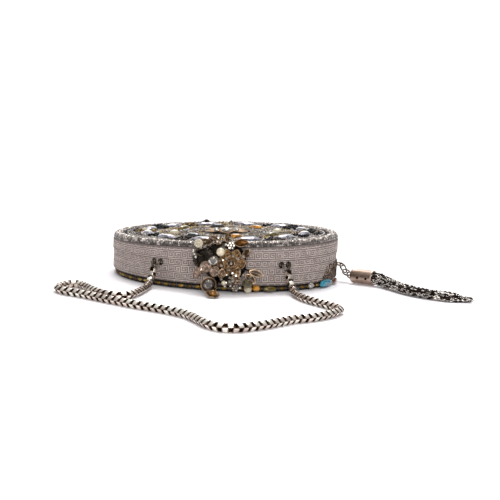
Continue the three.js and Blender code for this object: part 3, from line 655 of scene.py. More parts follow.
def cut_holes(obj, centres, radius):
    """Cuts round holes through the wall at the eyelets."""
    pile = Pile()
    for angle in centres:
        pile.add(tube([wall_point(angle, EYELET_SHARE, LOWER_RADIUS + out) for out in (-6, 4)], radius, 20))
    cutter = new_object("cutter", np.concatenate(pile.points), pile.faces)
    modifier = obj.modifiers.new("holes", "BOOLEAN")
    modifier.object, modifier.operation, modifier.solver = cutter, "DIFFERENCE", "EXACT"
    bpy.context.view_layer.update()
    cut = bpy.data.meshes.new_from_object(obj.evaluated_get(bpy.context.evaluated_depsgraph_get()))
    obj.modifiers.clear()
    obj.data = cut
    bpy.data.objects.remove(cutter)


def wall_half(radius, face, seam):
    """Hollow half of the drum between its closed face and the seam, lined inside."""
    up = 1 if seam > face else -1
    inside, floor = radius - WALL_THICKNESS, face + up * PANEL_THICKNESS
    profile = [(0, face), (radius - FACE_ROUND, face), (radius - ROUND_STEP, face + up * ROUND_STEP),
               (radius, face + up * FACE_ROUND), (radius, seam - up * RIM_EDGE), (radius - RIM_EDGE, seam),
               (inside + RIM_EDGE, seam), (inside, seam - up * RIM_EDGE), (inside, floor), (0, floor)]
    slots = [0] * 6 * WALL_SIDES + [1] * 3 * WALL_SIDES
    return Pile("wall", "lining").add(leaned(revolve(profile[::up], WALL_SIDES)), 0.9, slots[::up])


def add_walls():
    lower = wall_half(LOWER_RADIUS, WALL_BOTTOM, SEAM - HALF_SEAM)
    wall = lower.piece("lower_wall", "base", "wall_cloth", "lower_shell")
    cut_holes(wall, EYELET_ANGLES.values(), EYELET_BARREL + GAP)
    upper = wall_half(BAG_RADIUS, WALL_TOP, SEAM + HALF_SEAM)
    upper.piece("upper_wall", "lid", "wall_cloth", "upper_shell")
    seam_row = SEAM_SHARE * KEY_ROWS
    for name, body, first, last, radius in (
        ("lower_wall_thread", "base", 1, int(seam_row), LOWER_RADIUS),
        ("upper_wall_thread", "lid", int(seam_row + 1), KEY_ROWS - 2, BAG_RADIUS),
    ):
        pile = Pile("thread")
        weave_keys(pile, first, last, radius)
        pile.piece(name, body, "wall_cloth")


# Beaded faces

SILVER = ((0.29, 0.252, 0.23), (0.19, 0.165, 0.15), (0.10, 0.087, 0.077), (0.50, 0.445, 0.41))
GOLD = ((0.30, 0.18, 0.035), (0.20, 0.11, 0.02), (0.12, 0.07, 0.02), (0.42, 0.28, 0.08))
BROWN = ((0.06, 0.035, 0.02), (0.10, 0.06, 0.03), (0.03, 0.02, 0.015))
UMBER = ((0.16, 0.115, 0.09), (0.20, 0.15, 0.12), (0.12, 0.085, 0.065))
JET = ((0.008, 0.008, 0.009), (0.02, 0.02, 0.02))
BEAD_PITCH = 1.95
FACE_SIDES = 128


def shaded(palette):
    """One of a palette's colours, a little lighter or darker."""
    colour = RNG.choice(palette)
    factor = RNG.uniform(0.7, 1.3)
    return tuple(factor * c for c in colour)


def bead_count(radius, size):
    """Number of beads that fit round a ring."""
    return int(2 * math.pi * radius / (BEAD_PITCH * size))


def bead_disc(pile, radii, z, size, palette_at, tilt=True):
    """Rows of small beads over a face; palette_at gives the colours at a place, or nothing for a gap."""
    for radius in radii:
        count = bead_count(radius, size)
        for index in range(count):
            angle = 360.0 * (index + RNG.uniform(-0.12, 0.12)) / count
            palette = palette_at(angle, radius)
            if palette:
                point = outward(angle, radius, z + RNG.uniform(-0.1, 0.1) if tilt else z)
                shape = placed(TINY_BEAD, point, scale=size * RNG.uniform(0.9, 1.04))
                pile.add(leaned(shape) if tilt else shape, shaded(palette))


def bead_ring(pile, radius, z, size, palette, skip=0.0, tilt=True):
    """Row of beads round the drum's axis."""
    count = bead_count(radius, size)
    for index in range(count):
        if RNG.random() < skip:
            continue
        angle = 360.0 * (index + RNG.uniform(-0.15, 0.15)) / count
        point = outward(angle, radius + RNG.uniform(-0.15, 0.15), z + RNG.uniform(-0.12, 0.12))
        shape = placed(BEAD, point, scale=size * RNG.uniform(0.88, 1.06))
        pile.add(leaned(shape) if tilt else shape, shaded(palette))


# Radius, height, bead size and brightness of each row on the top border; the brightness is painted light:
# rows on top lighter as lit from above, the outer and innermost rows darker as painted shade
TOP_BORDER_ROWS = (
    (89.1, 33.0, 0.85, 0.8), (88.6, 34.4, 0.9, 0.9), (87.2, 35.3, 0.95, 1.8), (85.3, 35.5, 0.95, 2.2),
    (83.4, 35.1, 0.9, 1.5), (81.7, 34.5, 0.85, 0.2),
)
TOP_BORDER_BED = (
    (80.9, 32.6), (89.2, 32.6), (89.4, 33.4), (88.2, 34.6), (86, 35.1), (83.5, 34.7), (80.9, 33.8),
)
BOTTOM_BORDER_BED = ((81.8, 0.4), (85.8, 0.4), (87, 2.2), (86, 4.4), (81.8, 4.4))
BOTTOM_PANEL = ((0, 0.9), (80.2, 0.9), (80.6, 0), (81, 0), (81.5, 0.5), (81.5, 4.5), (0, 4.5))
GOLD_OVALS = {"count": 85, "radius": 86.7, "z": 2.4, "half_sizes": (2.3, 1.3, 1.25)}


def add_top_border():
    pile = Pile("beads", "panel")
    pile.add(leaned(revolve(TOP_BORDER_BED, WALL_SIDES, loop=True)), slot=1)
    for radius, z, size, tone in TOP_BORDER_ROWS:
        # Each row's colours scaled by its painted light and shade
        bead_ring(pile, radius, z, size, [[tone * c for c in colour] for colour in SILVER], skip=0.03)
    pile.piece("top_border_beads", "lid", "silver_beads", "top_border")


def past_scallops(angle, radius, middle, depth, count):
    """How far a place lies outside a wavy line round a face."""
    return radius - middle - depth * math.cos(math.radians(count * angle))


def bottom_palette(angle, radius):
    """Gold scallops and silver rings on a dark ground."""
    if abs(past_scallops(angle, radius, 58, 9, 10)) < 3:
        return GOLD
    return SILVER if radius % 26 < 2.6 else BROWN + JET


def add_bottom_faces():
    pile = Pile("dark_beads", "panel")
    pile.add(revolve(BOTTOM_BORDER_BED, WALL_SIDES, loop=True), 0.4, slot=1)
    for radius, z, size in ((86.6, 1.1, 0.8), (86.8, 3.8, 0.75)):
        bead_ring(pile, radius, z, size, JET + BROWN[2:], tilt=False)
    bead = placed(BEAD, turn=np.diag(GOLD_OVALS["half_sizes"]))
    for index in range(GOLD_OVALS["count"]):
        angle = 360.0 * index / GOLD_OVALS["count"]
        point = outward(angle, GOLD_OVALS["radius"], GOLD_OVALS["z"] + RNG.uniform(-0.1, 0.1))
        pile.add(placed(bead, point, about_z(angle)), shaded(GOLD))
    pile.piece("bottom_border_beads", "base", "gold_beads", "bottom_border")
    cloth = Pile("panel").add(revolve(BOTTOM_PANEL, FACE_SIDES))
    cloth.piece("bottom_panel_cloth", "base", "panel_cloth", "bottom_panel")
    pile = Pile("dark_beads")
    bead_disc(pile, np.arange(3, 79, 2.6), 0.85, 0.8, bottom_palette, tilt=False)
    pile.piece("bottom_panel_beads", "base", "gold_beads")


# Stones of the top face: a ring of pointed ones, and accents nearer its middle
# Their places are an angle and a radius, followed by length and width
RING_COUNT, RING_RADIUS = 12, 64
RING_STONES = [(360.0 * (index + 0.5) / RING_COUNT, RING_RADIUS, 21, 9.5) for index in range(RING_COUNT)]
RING_HEIGHT, RING_SHARPNESS = 2.8, 0.6
TOP_ACCENTS = (
    ("amber", 10, 42, 11, 8), ("olive", 55, 44, 14, 7), ("pearl", 100, 42, 8, 8), ("amber", 145, 43, 12, 8),
    ("smoke", 190, 44, 13, 8), ("olive", 235, 43, 14, 7), ("pearl", 280, 42, 8, 8),
    ("smoke", 325, 44, 13, 8),
)
ACCENT_HEIGHT = 3.0
TOP_STONES = RING_STONES + [row[1:] for row in TOP_ACCENTS]
OUTLINE_GAP = 1.2
CHIP_COUNT, CHIP_RADII = 36, (35, 36.5, 56, 57.5, 73)
HEAP_BEADS = 16
# Radius, bead size and colours of the rings of seed beads
TOP_BEAD_RINGS = (
    (78.8, 1.0, SILVER), (76.4, 1.0, JET + BROWN), (53.5, 0.8, GOLD), (30.5, 0.9, SILVER),
    (23.5, 0.8, BROWN + GOLD),
)
# Angle, radius, half width in degrees, half depth, colours, count and height of heaps of beads
TOP_CLUSTERS = (
    (-119, 65, 7, 8, JET, 130, 3.6), (-96, 72, 7, 4, JET, 50, 2.2), (119, 63, 8, 8, JET, 130, 3.6),
    (90, 67, 6, 7, JET, 120, 3.4), (80, 74, 5, 3, JET, 40, 1.8), (-139, 67, 6, 5, GOLD + BROWN, 50, 2.4),
    (-150, 64, 6, 5, GOLD + BROWN, 60, 3.2), (-166, 75, 3.5, 4, BROWN + JET, 70, 4.2),
    (164, 69, 4, 4, GOLD + JET, 40, 3.4), (176, 70, 5, 4, SILVER, 40, 3.6),
    (150, 69, 4, 4, SILVER, 30, 3.0), (-70, 70, 8, 4, SILVER, 40, 2.0),
    (30, 72, 8, 3, JET + BROWN, 40, 1.8), (-28, 72, 8, 3, JET + BROWN, 40, 1.8),
)


def top_spot(angle, radius, lift=0.0):
    return outward(angle, radius, STONE_SEAT + lift)


def on_top(shape, angle, radius, lift=0.0, turn=None, scale=1.0):
    """Shape on the leaning top face, lifted over the seat of its stones."""
    return leaned(placed(shape, top_spot(angle, radius, lift), turn, scale))


def outline_beads(pile, stone_place, sharpness, size, palette):
    """Seed beads in a row round a stone of the top face."""
    angle, radius, length, width = stone_place
    count = int(1.45 * (length + width) / size / 1.9)
    length, width = length + 2 * OUTLINE_GAP, width + 2 * OUTLINE_GAP
    for local in oval(length, width, 0.1, around(count), sharpness):
        point = offset(top_spot(angle, radius), about_z(angle), *local)
        pile.add(leaned(placed(SMALL_BEAD, point, scale=size)), shaded(palette))


def add_top_stones():
    for index, (angle, radius, length, width) in enumerate(RING_STONES, 1):
        shape = gem(length, width, RING_HEIGHT, 14, RING_SHARPNESS)
        pile = Pile("lilac").add_stone(on_top(shape, angle, radius, turn=about_z(angle)))
        pile.piece(f"top_stone_{index:02d}_cut", "lid", "lilac_stone", f"top_stone_{index:02d}")
    for index, (finish, angle, radius, length, width) in enumerate(TOP_ACCENTS, 1):
        pile, turn = Pile(finish), about_z(angle)
        if finish == "pearl":
            pile.add(on_top(dome(length, width, ACCENT_HEIGHT), angle, radius, turn=turn))
        else:
            pile.add_stone(on_top(gem(length, width, ACCENT_HEIGHT, 14), angle, radius, turn=turn))
        pile.piece(f"top_accent_{index}_cut", "lid", stone_slot(finish), f"top_accent_{index}")


def add_top_flower():
    """Six petals with small stones, round a larger one in a ring of beads."""
    pile = Pile("antique", "clear", "beads")
    petal = leaf(17, 10, 0.12, 0.1, 0.9)
    for angle in range(0, 360, 60):
        pile.add(on_top(petal, angle, 11, 1.2, about_z(angle - 90)), RNG.uniform(0.7, 1.1))
        pile.add_stone(on_top(gem(4.2, 4.2, 1.8, 8), angle, 9.5, 1.6), 1)
    pile.add_stone(on_top(gem(10, 10, 3.6, 12), 0, 0), 1)
    for angle in range(0, 360, 20):
        pile.add(on_top(SMALL_BEAD, angle, 6.2, 1.6, scale=0.8), shaded(GOLD), 2)
    pile.piece("top_flower_crystal", "lid", "antique_metal", "top_flower")


def top_palette(angle, radius):
    """Scalloped ground of the top face, left open under its stones."""
    for middle, distance, length, width in TOP_STONES:
        x, y, _ = about_z(middle).T @ (top_spot(angle, radius) - top_spot(middle, distance))
        if (x / (length / 2 + 1)) ** 2 + (y / (width / 2 + 1)) ** 2 < 1:
            return None
    past = past_scallops(angle, radius, 50, 6, 12)
    if abs(past) < 1.8:
        return GOLD
    return SILVER if past > 0 else BROWN + GOLD[2:3] + SILVER[:2]


def add_bead_heaps(pile):
    """Heaps between the ring's stones, every third one gold round a pearl, and the larger clusters."""
    for index in range(RING_COUNT):
        middle = 360.0 * index / RING_COUNT
        black = index % 3 != 0
        for _ in range(HEAP_BEADS):
            angle, radius = middle + RNG.uniform(-5, 5), RING_RADIUS + RNG.uniform(-7, 9)
            lift = RNG.uniform(0.3, 1.8)
            bead = on_top(SMALL_BEAD, angle, radius, lift, scale=RNG.uniform(0.9, 1.35))
            pile.add(bead, shaded(JET if black else GOLD), 3 if black else 0)
        if not black:
            pile.add(on_top(BEAD, middle, 66, 1.6, scale=2.2), slot=2)
    for angle, radius, wide, deep, palette, count, height in TOP_CLUSTERS:
        for _ in range(count):
            share = math.sqrt(RNG.random())
            turn = RNG.uniform(0, 2 * math.pi)
            lift = height * RNG.uniform(0.15, 1.0) * (1 - 0.6 * share)
            bead = on_top(SMALL_BEAD, angle + wide * share * math.cos(turn),
                          radius + deep * share * math.sin(turn), lift, scale=RNG.uniform(0.9, 1.3))
            pile.add(bead, shaded(palette), 0 if palette is SILVER else 3)


def add_top_embroidery():
    """Ground cloth of the top face with its seed beads, small rhinestones and pearls."""
    low, edge, crown = WALL_TOP + GAP, WALL_TOP + 1.2, 0.6
    rises = [0.5 * math.pi * step / 8 for step in range(8)]
    rows = [(PANEL_RADIUS * math.cos(rise), edge + crown * math.sin(rise)) for rise in rises]
    profile = [(0, low), (PANEL_RADIUS, low), *rows, (0, WALL_TOP + 1.8)]
    cloth = Pile("panel").add(leaned(revolve(profile, FACE_SIDES)))
    cloth.piece("top_panel_cloth", "lid", "panel_cloth", "top_panel")

    pile = Pile("beads", "clear", "pearl", "dark_beads")
    for place in RING_STONES:
        outline_beads(pile, place, 0.5, 0.8, SILVER)
    for accent in TOP_ACCENTS:
        outline_beads(pile, accent[1:], 0.0, 0.75, GOLD)
    for radius, size, palette in TOP_BEAD_RINGS:
        bead_ring(pile, radius, STONE_SEAT + 0.2, size, palette)
    add_bead_heaps(pile)
    for index in range(CHIP_COUNT):
        angle = 360.0 / CHIP_COUNT * index + RNG.uniform(-3, 3)
        radius = RNG.choice(CHIP_RADII)
        size = RNG.uniform(2.6, 3.8)
        pile.add_stone(on_top(gem(size, size, 1.7, 8), angle, radius), 1)
    pile.piece("top_embroidery", "lid", "silver_beads")
    pile = Pile("beads")
    bead_disc(pile, np.arange(21, 77.5, 1.75), STONE_SEAT - 0.1, 0.8, top_palette)
    pile.piece("top_ground_beads", "lid", "silver_beads")


# Stones along the lower edge, with their angle, height, length and width, and beads up the wall

BOTTOM_STONES = (
    ("pearl", 10.7, 3.2, 5.8, 5.8), ("amber", 15, 3.4, 6, 4.6), ("olive", 21.7, 2.7, 10.5, 4.4),
    ("smoke", 35.5, 2.4, 8, 3.8), ("clear", 46, 3.7, 6, 4.4), ("turquoise", 59.5, 3.4, 22, 5.6),
    ("russet", 73.5, 3.1, 12, 4.6),
)
TASSEL_ANGLE, TASSEL_SHARE = 88, 0.27
CLIMB_ANGLES = (54, 59, 66, 80, 98, 106)
CLIMB_TOPS = (5.5, 15.5, 18.2, 19.5, 19.5, 6)
CLIMB_COLUMNS, CLIMB_FOOT, CLIMB_STEP = 66, 5.6, 1.35
STAPLE_CLEARANCE = 3.4


def add_bottom_stones():
    upright = facing(FRONT)
    for index, (finish, angle, z, length, width) in enumerate(BOTTOM_STONES, 1):
        pile = Pile(finish)
        seat = LOWER_RADIUS + GAP
        if finish == "pearl":
            pile.add(placed(ROUND_STONE, outward(angle, seat + length / 2, z), scale=length / 2))
        else:
            turn = about_z(angle) @ upright
            pile.add_stone(placed(gem(length, width, 2.4, 12), outward(angle, seat, z), turn))
        pile.piece(f"bottom_stone_{index}_cut", "base", stone_slot(finish), f"bottom_stone_{index}")


def add_climbing_beads():
    """Brown beads up the lower wall under the tassel."""
    pile = Pile("dark_beads")
    staple = wall_point(TASSEL_ANGLE, TASSEL_SHARE, LOWER_RADIUS)
    first, last = CLIMB_ANGLES[0], CLIMB_ANGLES[-1]
    for column in range(CLIMB_COLUMNS):
        angle = first + (last - first) * column / (CLIMB_COLUMNS - 1)
        top = np.interp(angle, CLIMB_ANGLES, CLIMB_TOPS)
        for row in range(int((top - 5.2) / CLIMB_STEP)):
            point = outward(angle + RNG.uniform(-0.25, 0.25), LOWER_RADIUS + 0.3)
            shift = 0.65 if column % 2 else 0
            point[2] = CLIMB_FOOT + CLIMB_STEP * row + shift + RNG.uniform(-0.2, 0.2)
            edge = min(angle - first, 0.8 * (top - point[2]))
            clear = np.linalg.norm(point - staple) > STAPLE_CLEARANCE
            if clear and RNG.random() < 0.12 + 0.11 * edge:
                palette = RNG.choice((UMBER, UMBER, UMBER, BROWN))
                pile.add(placed(SMALL_BEAD, point, scale=RNG.uniform(0.6, 0.8)), shaded(palette))
    pile.piece("climbing_beads", "base", "gold_beads")


# Clasp ornament: places are across, up and out from the front of the wall

PLATE = {"radius": 15.5, "thickness": 2, "place": (0, 22, 1.6)}
ROSETTE_X, ROSETTE_Z = 4.3, 22.5
# Count, ring radius, place out, length, width and tilt of each row of petals
ROSETTE_LAYERS = ((6, 7.2, 6.5, 9, 7.5, 0.5), (5, 3.8, 8.8, 6, 5.5, 0.85))
ROSETTE_CUP, ROSETTE_CURL = 0.22, 0.35
ROSETTE_HEART = ((0, 0), (6, 0), (4, 6), (0, 9))
# Look, place, length, width, spin in degrees, and tilt across and up
LEAVES = (
    ("blossom", 3.8, 34.7, 7, 6.4, 6.4, 0, 0, 0.3), ("dark", 10.8, 36.6, 5.5, 10, 5.6, 12, 0.2, 0.4),
    ("pave", 1.4, 40, 4.5, 6.5, 4.6, 80, 0, 0.5), ("pave", -7.8, 38, 4.5, 10, 5, 150, -0.1, 0.4),
    ("pave", -14, 36.3, 4, 8, 4.6, 170, -0.2, 0.3), ("pave", 15, 29.5, 4.5, 8, 5, 60, 0.4, 0.2),
    ("outline", 22.5, 15.4, 5.5, 10.5, 4.6, 0, 0.3, 0.1), ("outline", 18.5, 11.5, 6, 9, 5, -30, 0.2, -0.1),
    ("rosy", -13.4, 18.8, 7, 9.5, 8, 200, -0.3, 0.1), ("rosy", -7, 16.2, 8.6, 8, 7, 245, -0.1, -0.2),
    ("pave", -2.2, 15, 9.4, 7, 5, 265, 0.1, -0.3), ("rosy", -19, 14.5, 4.6, 9, 5, 215, -0.4, -0.2),
    ("beads", -21.8, 27.5, 4.4, 6.5, 4.4, 100, -0.3, 0.1), ("pave", 8, 11.4, 8, 8, 6, 280, 0.1, -0.3),
    ("blossom", 8.1, 4.6, 7.5, 5.6, 5.6, 0, 0, -0.2),
)
STEM_FOOT = 0.6
PAVE_ROW, PAVE_COLUMN, PAVE_MARGIN, PAVE_LIFT = 1.9, 1.6, 0.6, 0.35
WREATH = {"x": -15.5, "z": 25, "out": 5, "radius": 7, "twist": 0.55, "turns": 9}
WREATH_SHADE_DISH = ((0, -0.6), (4, -0.4), (6.4, 0.2), (6.1, 0.5), (3.5, 0.1), (0, 0))
# Place, radius, depth and direction of the two cups
CUPS = (((-11, 7.9, 18), 5.6, 3.2, (-0.1, -0.9, 0.35)), ((-7.7, 2.7, 26.2), 5, 1.6, (0.1, -0.36, 0.9)))
CUP_WALL = 0.6
RHINESTONES = (
    (-6.3, 37.4, 7), (-5.4, 39.8, 6), (-1.4, 38.6, 6.5), (0.2, 35.2, 7), (1, 25.8, 12), (-1.5, 24.5, 11.5),
    (5.5, 28.2, 12.5), (9.1, 26.1, 12), (12.6, 27.3, 9), (3.1, 17.9, 11.5), (5.7, 15.5, 11),
    (1.4, 14.2, 11), (4, 12.2, 11), (8.2, 13.7, 10.5), (10.6, 16.7, 10.5), (13.6, 14.1, 9),
    (18.6, 13.1, 8), (1.3, 8.4, 10.5), (3.8, 9.2, 10.5), (5.9, 9.6, 10), (0.7, 5.8, 10), (4.6, 6.2, 9.5),
    (11.5, 5.1, 9.5), (-4, 17.2, 11), (-5.7, 14.3, 11), (-2.4, 20.6, 11.5), (-2.3, 10.9, 11.5),
    (9.1, 10.1, 10), (-16.2, 19.5, 8), (-18.3, 17.1, 7), (-14.7, 33.4, 7), (-11.2, 34.7, 7.5),
    (-17.5, 32.5, 6.5),
)
ANTIQUE, GUNMETAL, CLEAR, TOPAZ, ROSY, SEEDS = range(6)


def spot(x, z, out):
    return np.array([x, -BAG_RADIUS - out, z], float)


def clock(turn):
    """Direction in the plane of the ornament."""
    return np.array([math.cos(turn), 0, math.sin(turn)])


def add_stem(pile, x, z, out, wire, tint):
    """Bar from the plate to a place in the ornament."""
    plate_x, plate_z, plate_out = PLATE["place"]
    foot = spot(plate_x + STEM_FOOT * (x - plate_x), plate_z + STEM_FOOT * (z - plate_z), plate_out)
    tip = spot(x, z, out)
    path = smooth_path([foot, 0.5 * (foot + tip) + FRONT * 0.6, tip], 1.5)
    pile.add(tube(path, wire, 8), tint, GUNMETAL)


def add_grain(pile, point, size, tint):
    pile.add(placed(SMALL_BEAD, point, scale=size), tint, ANTIQUE)


def painted_depth_shade(out):
    """Painted shade: metal is darker the deeper it lies in the ornament, nearer its plate."""
    return 0.2 + 0.8 * min(1.0, max(0.0, (out - 2) / 8.0))


def add_rhinestone(pile, point, turn, size):
    """Small cut stone in a dark cup with four claws."""
    cup = revolve([(0, -0.9), (0.42 * size, -0.8), (0.58 * size, 0.25), (0.5 * size, 0.3), (0, 0.1)], 10)
    pile.add(placed(cup, point, turn), RNG.uniform(0.4, 1.0), GUNMETAL)
    stone_turn = turn @ about_z(RNG.uniform(0, 45))
    pile.add_stone(placed(gem(size, size, 0.55 * size, 8), point, stone_turn), CLEAR, 0.1, 1.2)
    for claw in range(45, 360, 90):
        add_grain(pile, offset(point, turn @ about_z(claw), 0.52 * size, 0, 0.3), 0.22, 1.4)


def add_blossom(pile, point, turn, radius):
    """Flower of small stones round one in the middle."""
    for petal in range(0, 360, 60):
        place = offset(point, turn @ about_z(petal), 0.62 * radius, 0, 0.2)
        add_rhinestone(pile, place, turn, 0.62 * radius)
    add_rhinestone(pile, offset(point, turn, 0, 0, 0.9), turn, 0.6 * radius)


def add_pave(pile, point, turn, length, width, tone):
    """Leaf covered with grains and a few stones, painted darker underneath as the shade beneath its grains.
    """
    # Leaf body painted dark as shade under its grains; tone carries the painted depth shade
    pile.add(placed(leaf(length, width, thickness=0.8), point, turn), 0.3 * tone, ANTIQUE)
    pile.add(placed(leaf_edge(length, width, 0.32), point, turn), tone, ANTIQUE)
    rows = max(3, int(length / PAVE_ROW))
    for row in range(rows):
        share = (row + 0.5) / rows
        half = leaf_half(width, share) - PAVE_MARGIN
        count = max(1, int(2 * half / PAVE_COLUMN))
        for column in range(count):
            across = 0.0 if count == 1 else half * (2 * column / (count - 1) - 1)
            rise = LEAF_CUP * width * (2 * across / width) ** 2
            rise += LEAF_CURL * length * (share - CURL_START) ** 2 + PAVE_LIFT
            place = offset(point, turn, (share - 0.5) * length, across, rise)
            if RNG.random() < 0.4:
                add_rhinestone(pile, place, turn, RNG.uniform(1.3, 1.7))
            else:
                add_grain(pile, place, RNG.uniform(0.5, 0.75), tone * RNG.uniform(0.3, 1.3))


def add_rosy_leaf(pile, petal, point, turn, length, width):
    """Coloured leaf with pairs of veins and a grain at each pair."""
    pile.add_stone(petal, ROSY, 0.35, 1.25)
    pile.add(placed(leaf_edge(length, width, 0.34), point, turn), 0.5, ANTIQUE)
    for share in (-0.3, -0.1, 0.1, 0.3):
        along = share * length
        root = offset(point, turn, along, 0, 0.45)
        for reach in (-0.294, 0.294):
            vein = tube([root, offset(point, turn, along + 1, reach * width, 0.75)], 0.2, 5)
            pile.add(vein, RNG.uniform(0.15, 0.5), ANTIQUE)
        add_grain(pile, offset(point, turn, along, 0, 0.6), 0.45, RNG.uniform(0.5, 1.4))


def add_leaf(pile, look, x, z, out, length, width, spin, tilt_x, tilt_z):
    point, turn = spot(x, z, out), facing((tilt_x, -1, tilt_z), spin)
    petal = placed(leaf(length, width, rows=6, columns=4), point, turn)
    edge = placed(leaf_edge(length, width, 0.34), point, turn)
    if look == "blossom":
        add_blossom(pile, point, turn, 0.5 * width)
    elif look == "pave":
        add_pave(pile, point, turn, length, width, painted_depth_shade(out))
    elif look == "beads":
        for share in (-0.35, 0.0, 0.35):
            bead = placed(BEAD, offset(point, turn, share * length, 0, 0.6), scale=1.15)
            pile.add(bead, (0.6, 0.56, 0.5), SEEDS)
    elif look == "rosy":
        add_rosy_leaf(pile, petal, point, turn, length, width)
    elif look == "dark":
        shades = np.random.default_rng(3).uniform(0.05, 0.22, len(petal[1]))
        pile.add(petal, [(t, 0.65 * t, 0.35 * t) for t in shades], ANTIQUE, smooth=False)
        pile.add(edge, 0.35, ANTIQUE)
    else:
        pile.add(petal, 0.45, GUNMETAL, smooth=False)
        pile.add(edge, 1.3, ANTIQUE)
        rib = [offset(point, turn, share * length, 0, 0.5) for share in (-0.45, 0.0, 0.42)]
        pile.add(tube(smooth_path(rib, 1.0), 0.25, 6), 0.9, ANTIQUE)
    add_stem(pile, x, z, out - 0.6, 0.8, 0.35)


def add_rosette(pile):
    """Two rows of faceted petals, a ring of grains and a heart of small stones."""
    centre = facing(FRONT)
    for count, ring, out, length, width, tilt in ROSETTE_LAYERS:
        petal = leaf(length, width, ROSETTE_CUP, ROSETTE_CURL, rows=7)
        edge = leaf_edge(length, width, 0.26, ROSETTE_CUP, ROSETTE_CURL)
        for turn in around(count, 0.5 if count == 5 else 0.0):
            place = spot(ROSETTE_X, ROSETTE_Z, out) + clock(turn) * ring
            pose = facing(FRONT - tilt * clock(turn), math.degrees(turn))
            pile.add_stone(placed(petal, place, pose), TOPAZ, 0.25, 1.5)
            pile.add(placed(edge, place, pose), RNG.uniform(0.5, 1.1), ANTIQUE)
    pile.add(placed(revolve(ROSETTE_HEART, 24), spot(ROSETTE_X, ROSETTE_Z, 1.6), centre), 0.2, GUNMETAL)
    for turn in around(14):
        grain = spot(ROSETTE_X, ROSETTE_Z, 11.2) + 2.5 * clock(turn)
        add_grain(pile, grain, 0.55, RNG.uniform(0.4, 1.3))
    add_rhinestone(pile, spot(ROSETTE_X, ROSETTE_Z, 11.6), centre, 2.0)


def add_wreath(pile):
    """Two wires wound about each other in a ring, over a dish painted near black as the shade in the ring's
    hollow.
    """
    x, z, out, twist = (WREATH[key] for key in ("x", "z", "out", "twist"))
    pile.add(placed(revolve(WREATH_SHADE_DISH, 32), spot(x, z, out - 2.5), facing((-0.2, -1, 0))), 0.1, GUNMETAL)
    for strand in (0, math.pi):
        wound = []
        for turn in around(72):
            wind = WREATH["turns"] * turn + strand
            ring = (WREATH["radius"] + twist * math.cos(wind)) * clock(turn)
            wound.append(spot(x, z, out) + ring + FRONT * twist * math.sin(wind))
        pile.add(tube(wound, 0.5, 6, closed=True), 0.35, GUNMETAL)


def add_cup(pile, place, radius, depth, direction):
    """Open cup with a lighter rim, on a stem."""
    bowl = revolve([(0, -depth), (0.45 * radius, -0.92 * depth), (0.8 * radius, -0.55 * depth), (radius, 0),
                    (radius - CUP_WALL, 0.1), (0.75 * radius - CUP_WALL, -0.45 * depth),
                    (0.4 * radius, -0.7 * depth), (0, -0.75 * depth)], 28)
    x, z, out = place
    pose = facing(direction)
    pile.add(placed(bowl, spot(x, z, out), pose), 0.3, ANTIQUE)
    rim = [offset(spot(x, z, out), pose @ about_z(turn), radius - 0.25, 0, 0.05)
           for turn in range(0, 360, 10)]
    pile.add(tube(rim, 0.24, 6, closed=True), 0.6, ANTIQUE)
    add_stem(pile, x, z, out - depth / 2, 1.5, 0.2)


def add_ornament_metal():
    pile = Pile("antique", "gunmetal", "clear", "topaz", "rosy", "beads")
    radius, half, edge = PLATE["radius"], PLATE["thickness"] / 2, 0.4
    disc = revolve([(0, -half), (radius - edge, -half), (radius, -half + edge), (radius, half - edge),
                    (radius - edge, half), (0, half)], 48)
    pile.add(placed(disc, spot(*PLATE["place"]), facing(FRONT)), 0.12, GUNMETAL)
    add_rosette(pile)
    for row in LEAVES:
        add_leaf(pile, *row)
    for x, z, out in RHINESTONES:
        pose = facing((RNG.uniform(-0.3, 0.3), -1, RNG.uniform(-0.1, 0.5)))
        add_rhinestone(pile, spot(x, z, out - 1), pose, RNG.uniform(1.5, 2.3))
    add_wreath(pile)
    for cup in CUPS:
        add_cup(pile, *cup)
    pile.piece("ornament_metal", "lid", "antique_metal", "ornament_frame")


# Name, finish, ball, place, radius and tint
ROUND_STONES = (
    ("ornament_pearl", "pearl", ball(24, 14), (-3.4, 30.4, 11), 3.1, 1.0),
    ("ornament_small_pearl", "pearl", ROUND_STONE, (-0.4, 8.2, 10), 1.8, 1.0),
    ("ornament_amber_bead", "amber", ROUND_STONE, (-7.6, 3.2, 26.5), 2.4, 0.45),
)
# Name, finish, length and width, place, spin in degrees and tint, which scales the painted facet
# reflections
CUT_STONES = (
    ("ornament_oval_stone", "clear", (7.6, 5.8), (-8.3, 24, 10), 15, 1.6),
    ("ornament_cup_stone", "clear", (6.4, 6.4), (-11, 8.1, 18.2), 0, 0.8),
    ("ornament_olive_stone", "olive", (6.6, 5), (16.5, 8.4, 9), -20, 1.0),
)
SETTING_HEIGHT = 3.0
CLUSTER = {"count": 26, "place": (-19.4, 35.4, 5.4), "radius": 2.4, "core": 2.2}


def add_setting(pile, length, width, point, turn):
    """Dark rim and claws round a set stone."""
    turns = around(32)
    rim = [offset(point, turn, *local) for local in oval(length + 0.2, width + 0.2, 0.8, turns)]
    pile.add(tube(rim, 0.42, 6, closed=True), 0.5, 1)
    for local in oval(0.98 * length, 0.98 * width, 1.3, turns[2::8]):
        pile.add(placed(SMALL_BEAD, offset(point, turn, *local), scale=0.4), 1.0, 1)


def facet_tints(shape, tint):
    """Painted reflections and shade: a dark table, light lower facets and mixed upper ones."""
    points, faces = shape
    middle = points[:, 2].mean()
    tints = []
    for face in faces:
        shades = (0.7, 1.2) if points[face, 2].mean() < middle else (0.15, 0.8)
        tints.append(tint * RNG.uniform(*shades))
    tints[1] = 0.12 * tint
    return tints


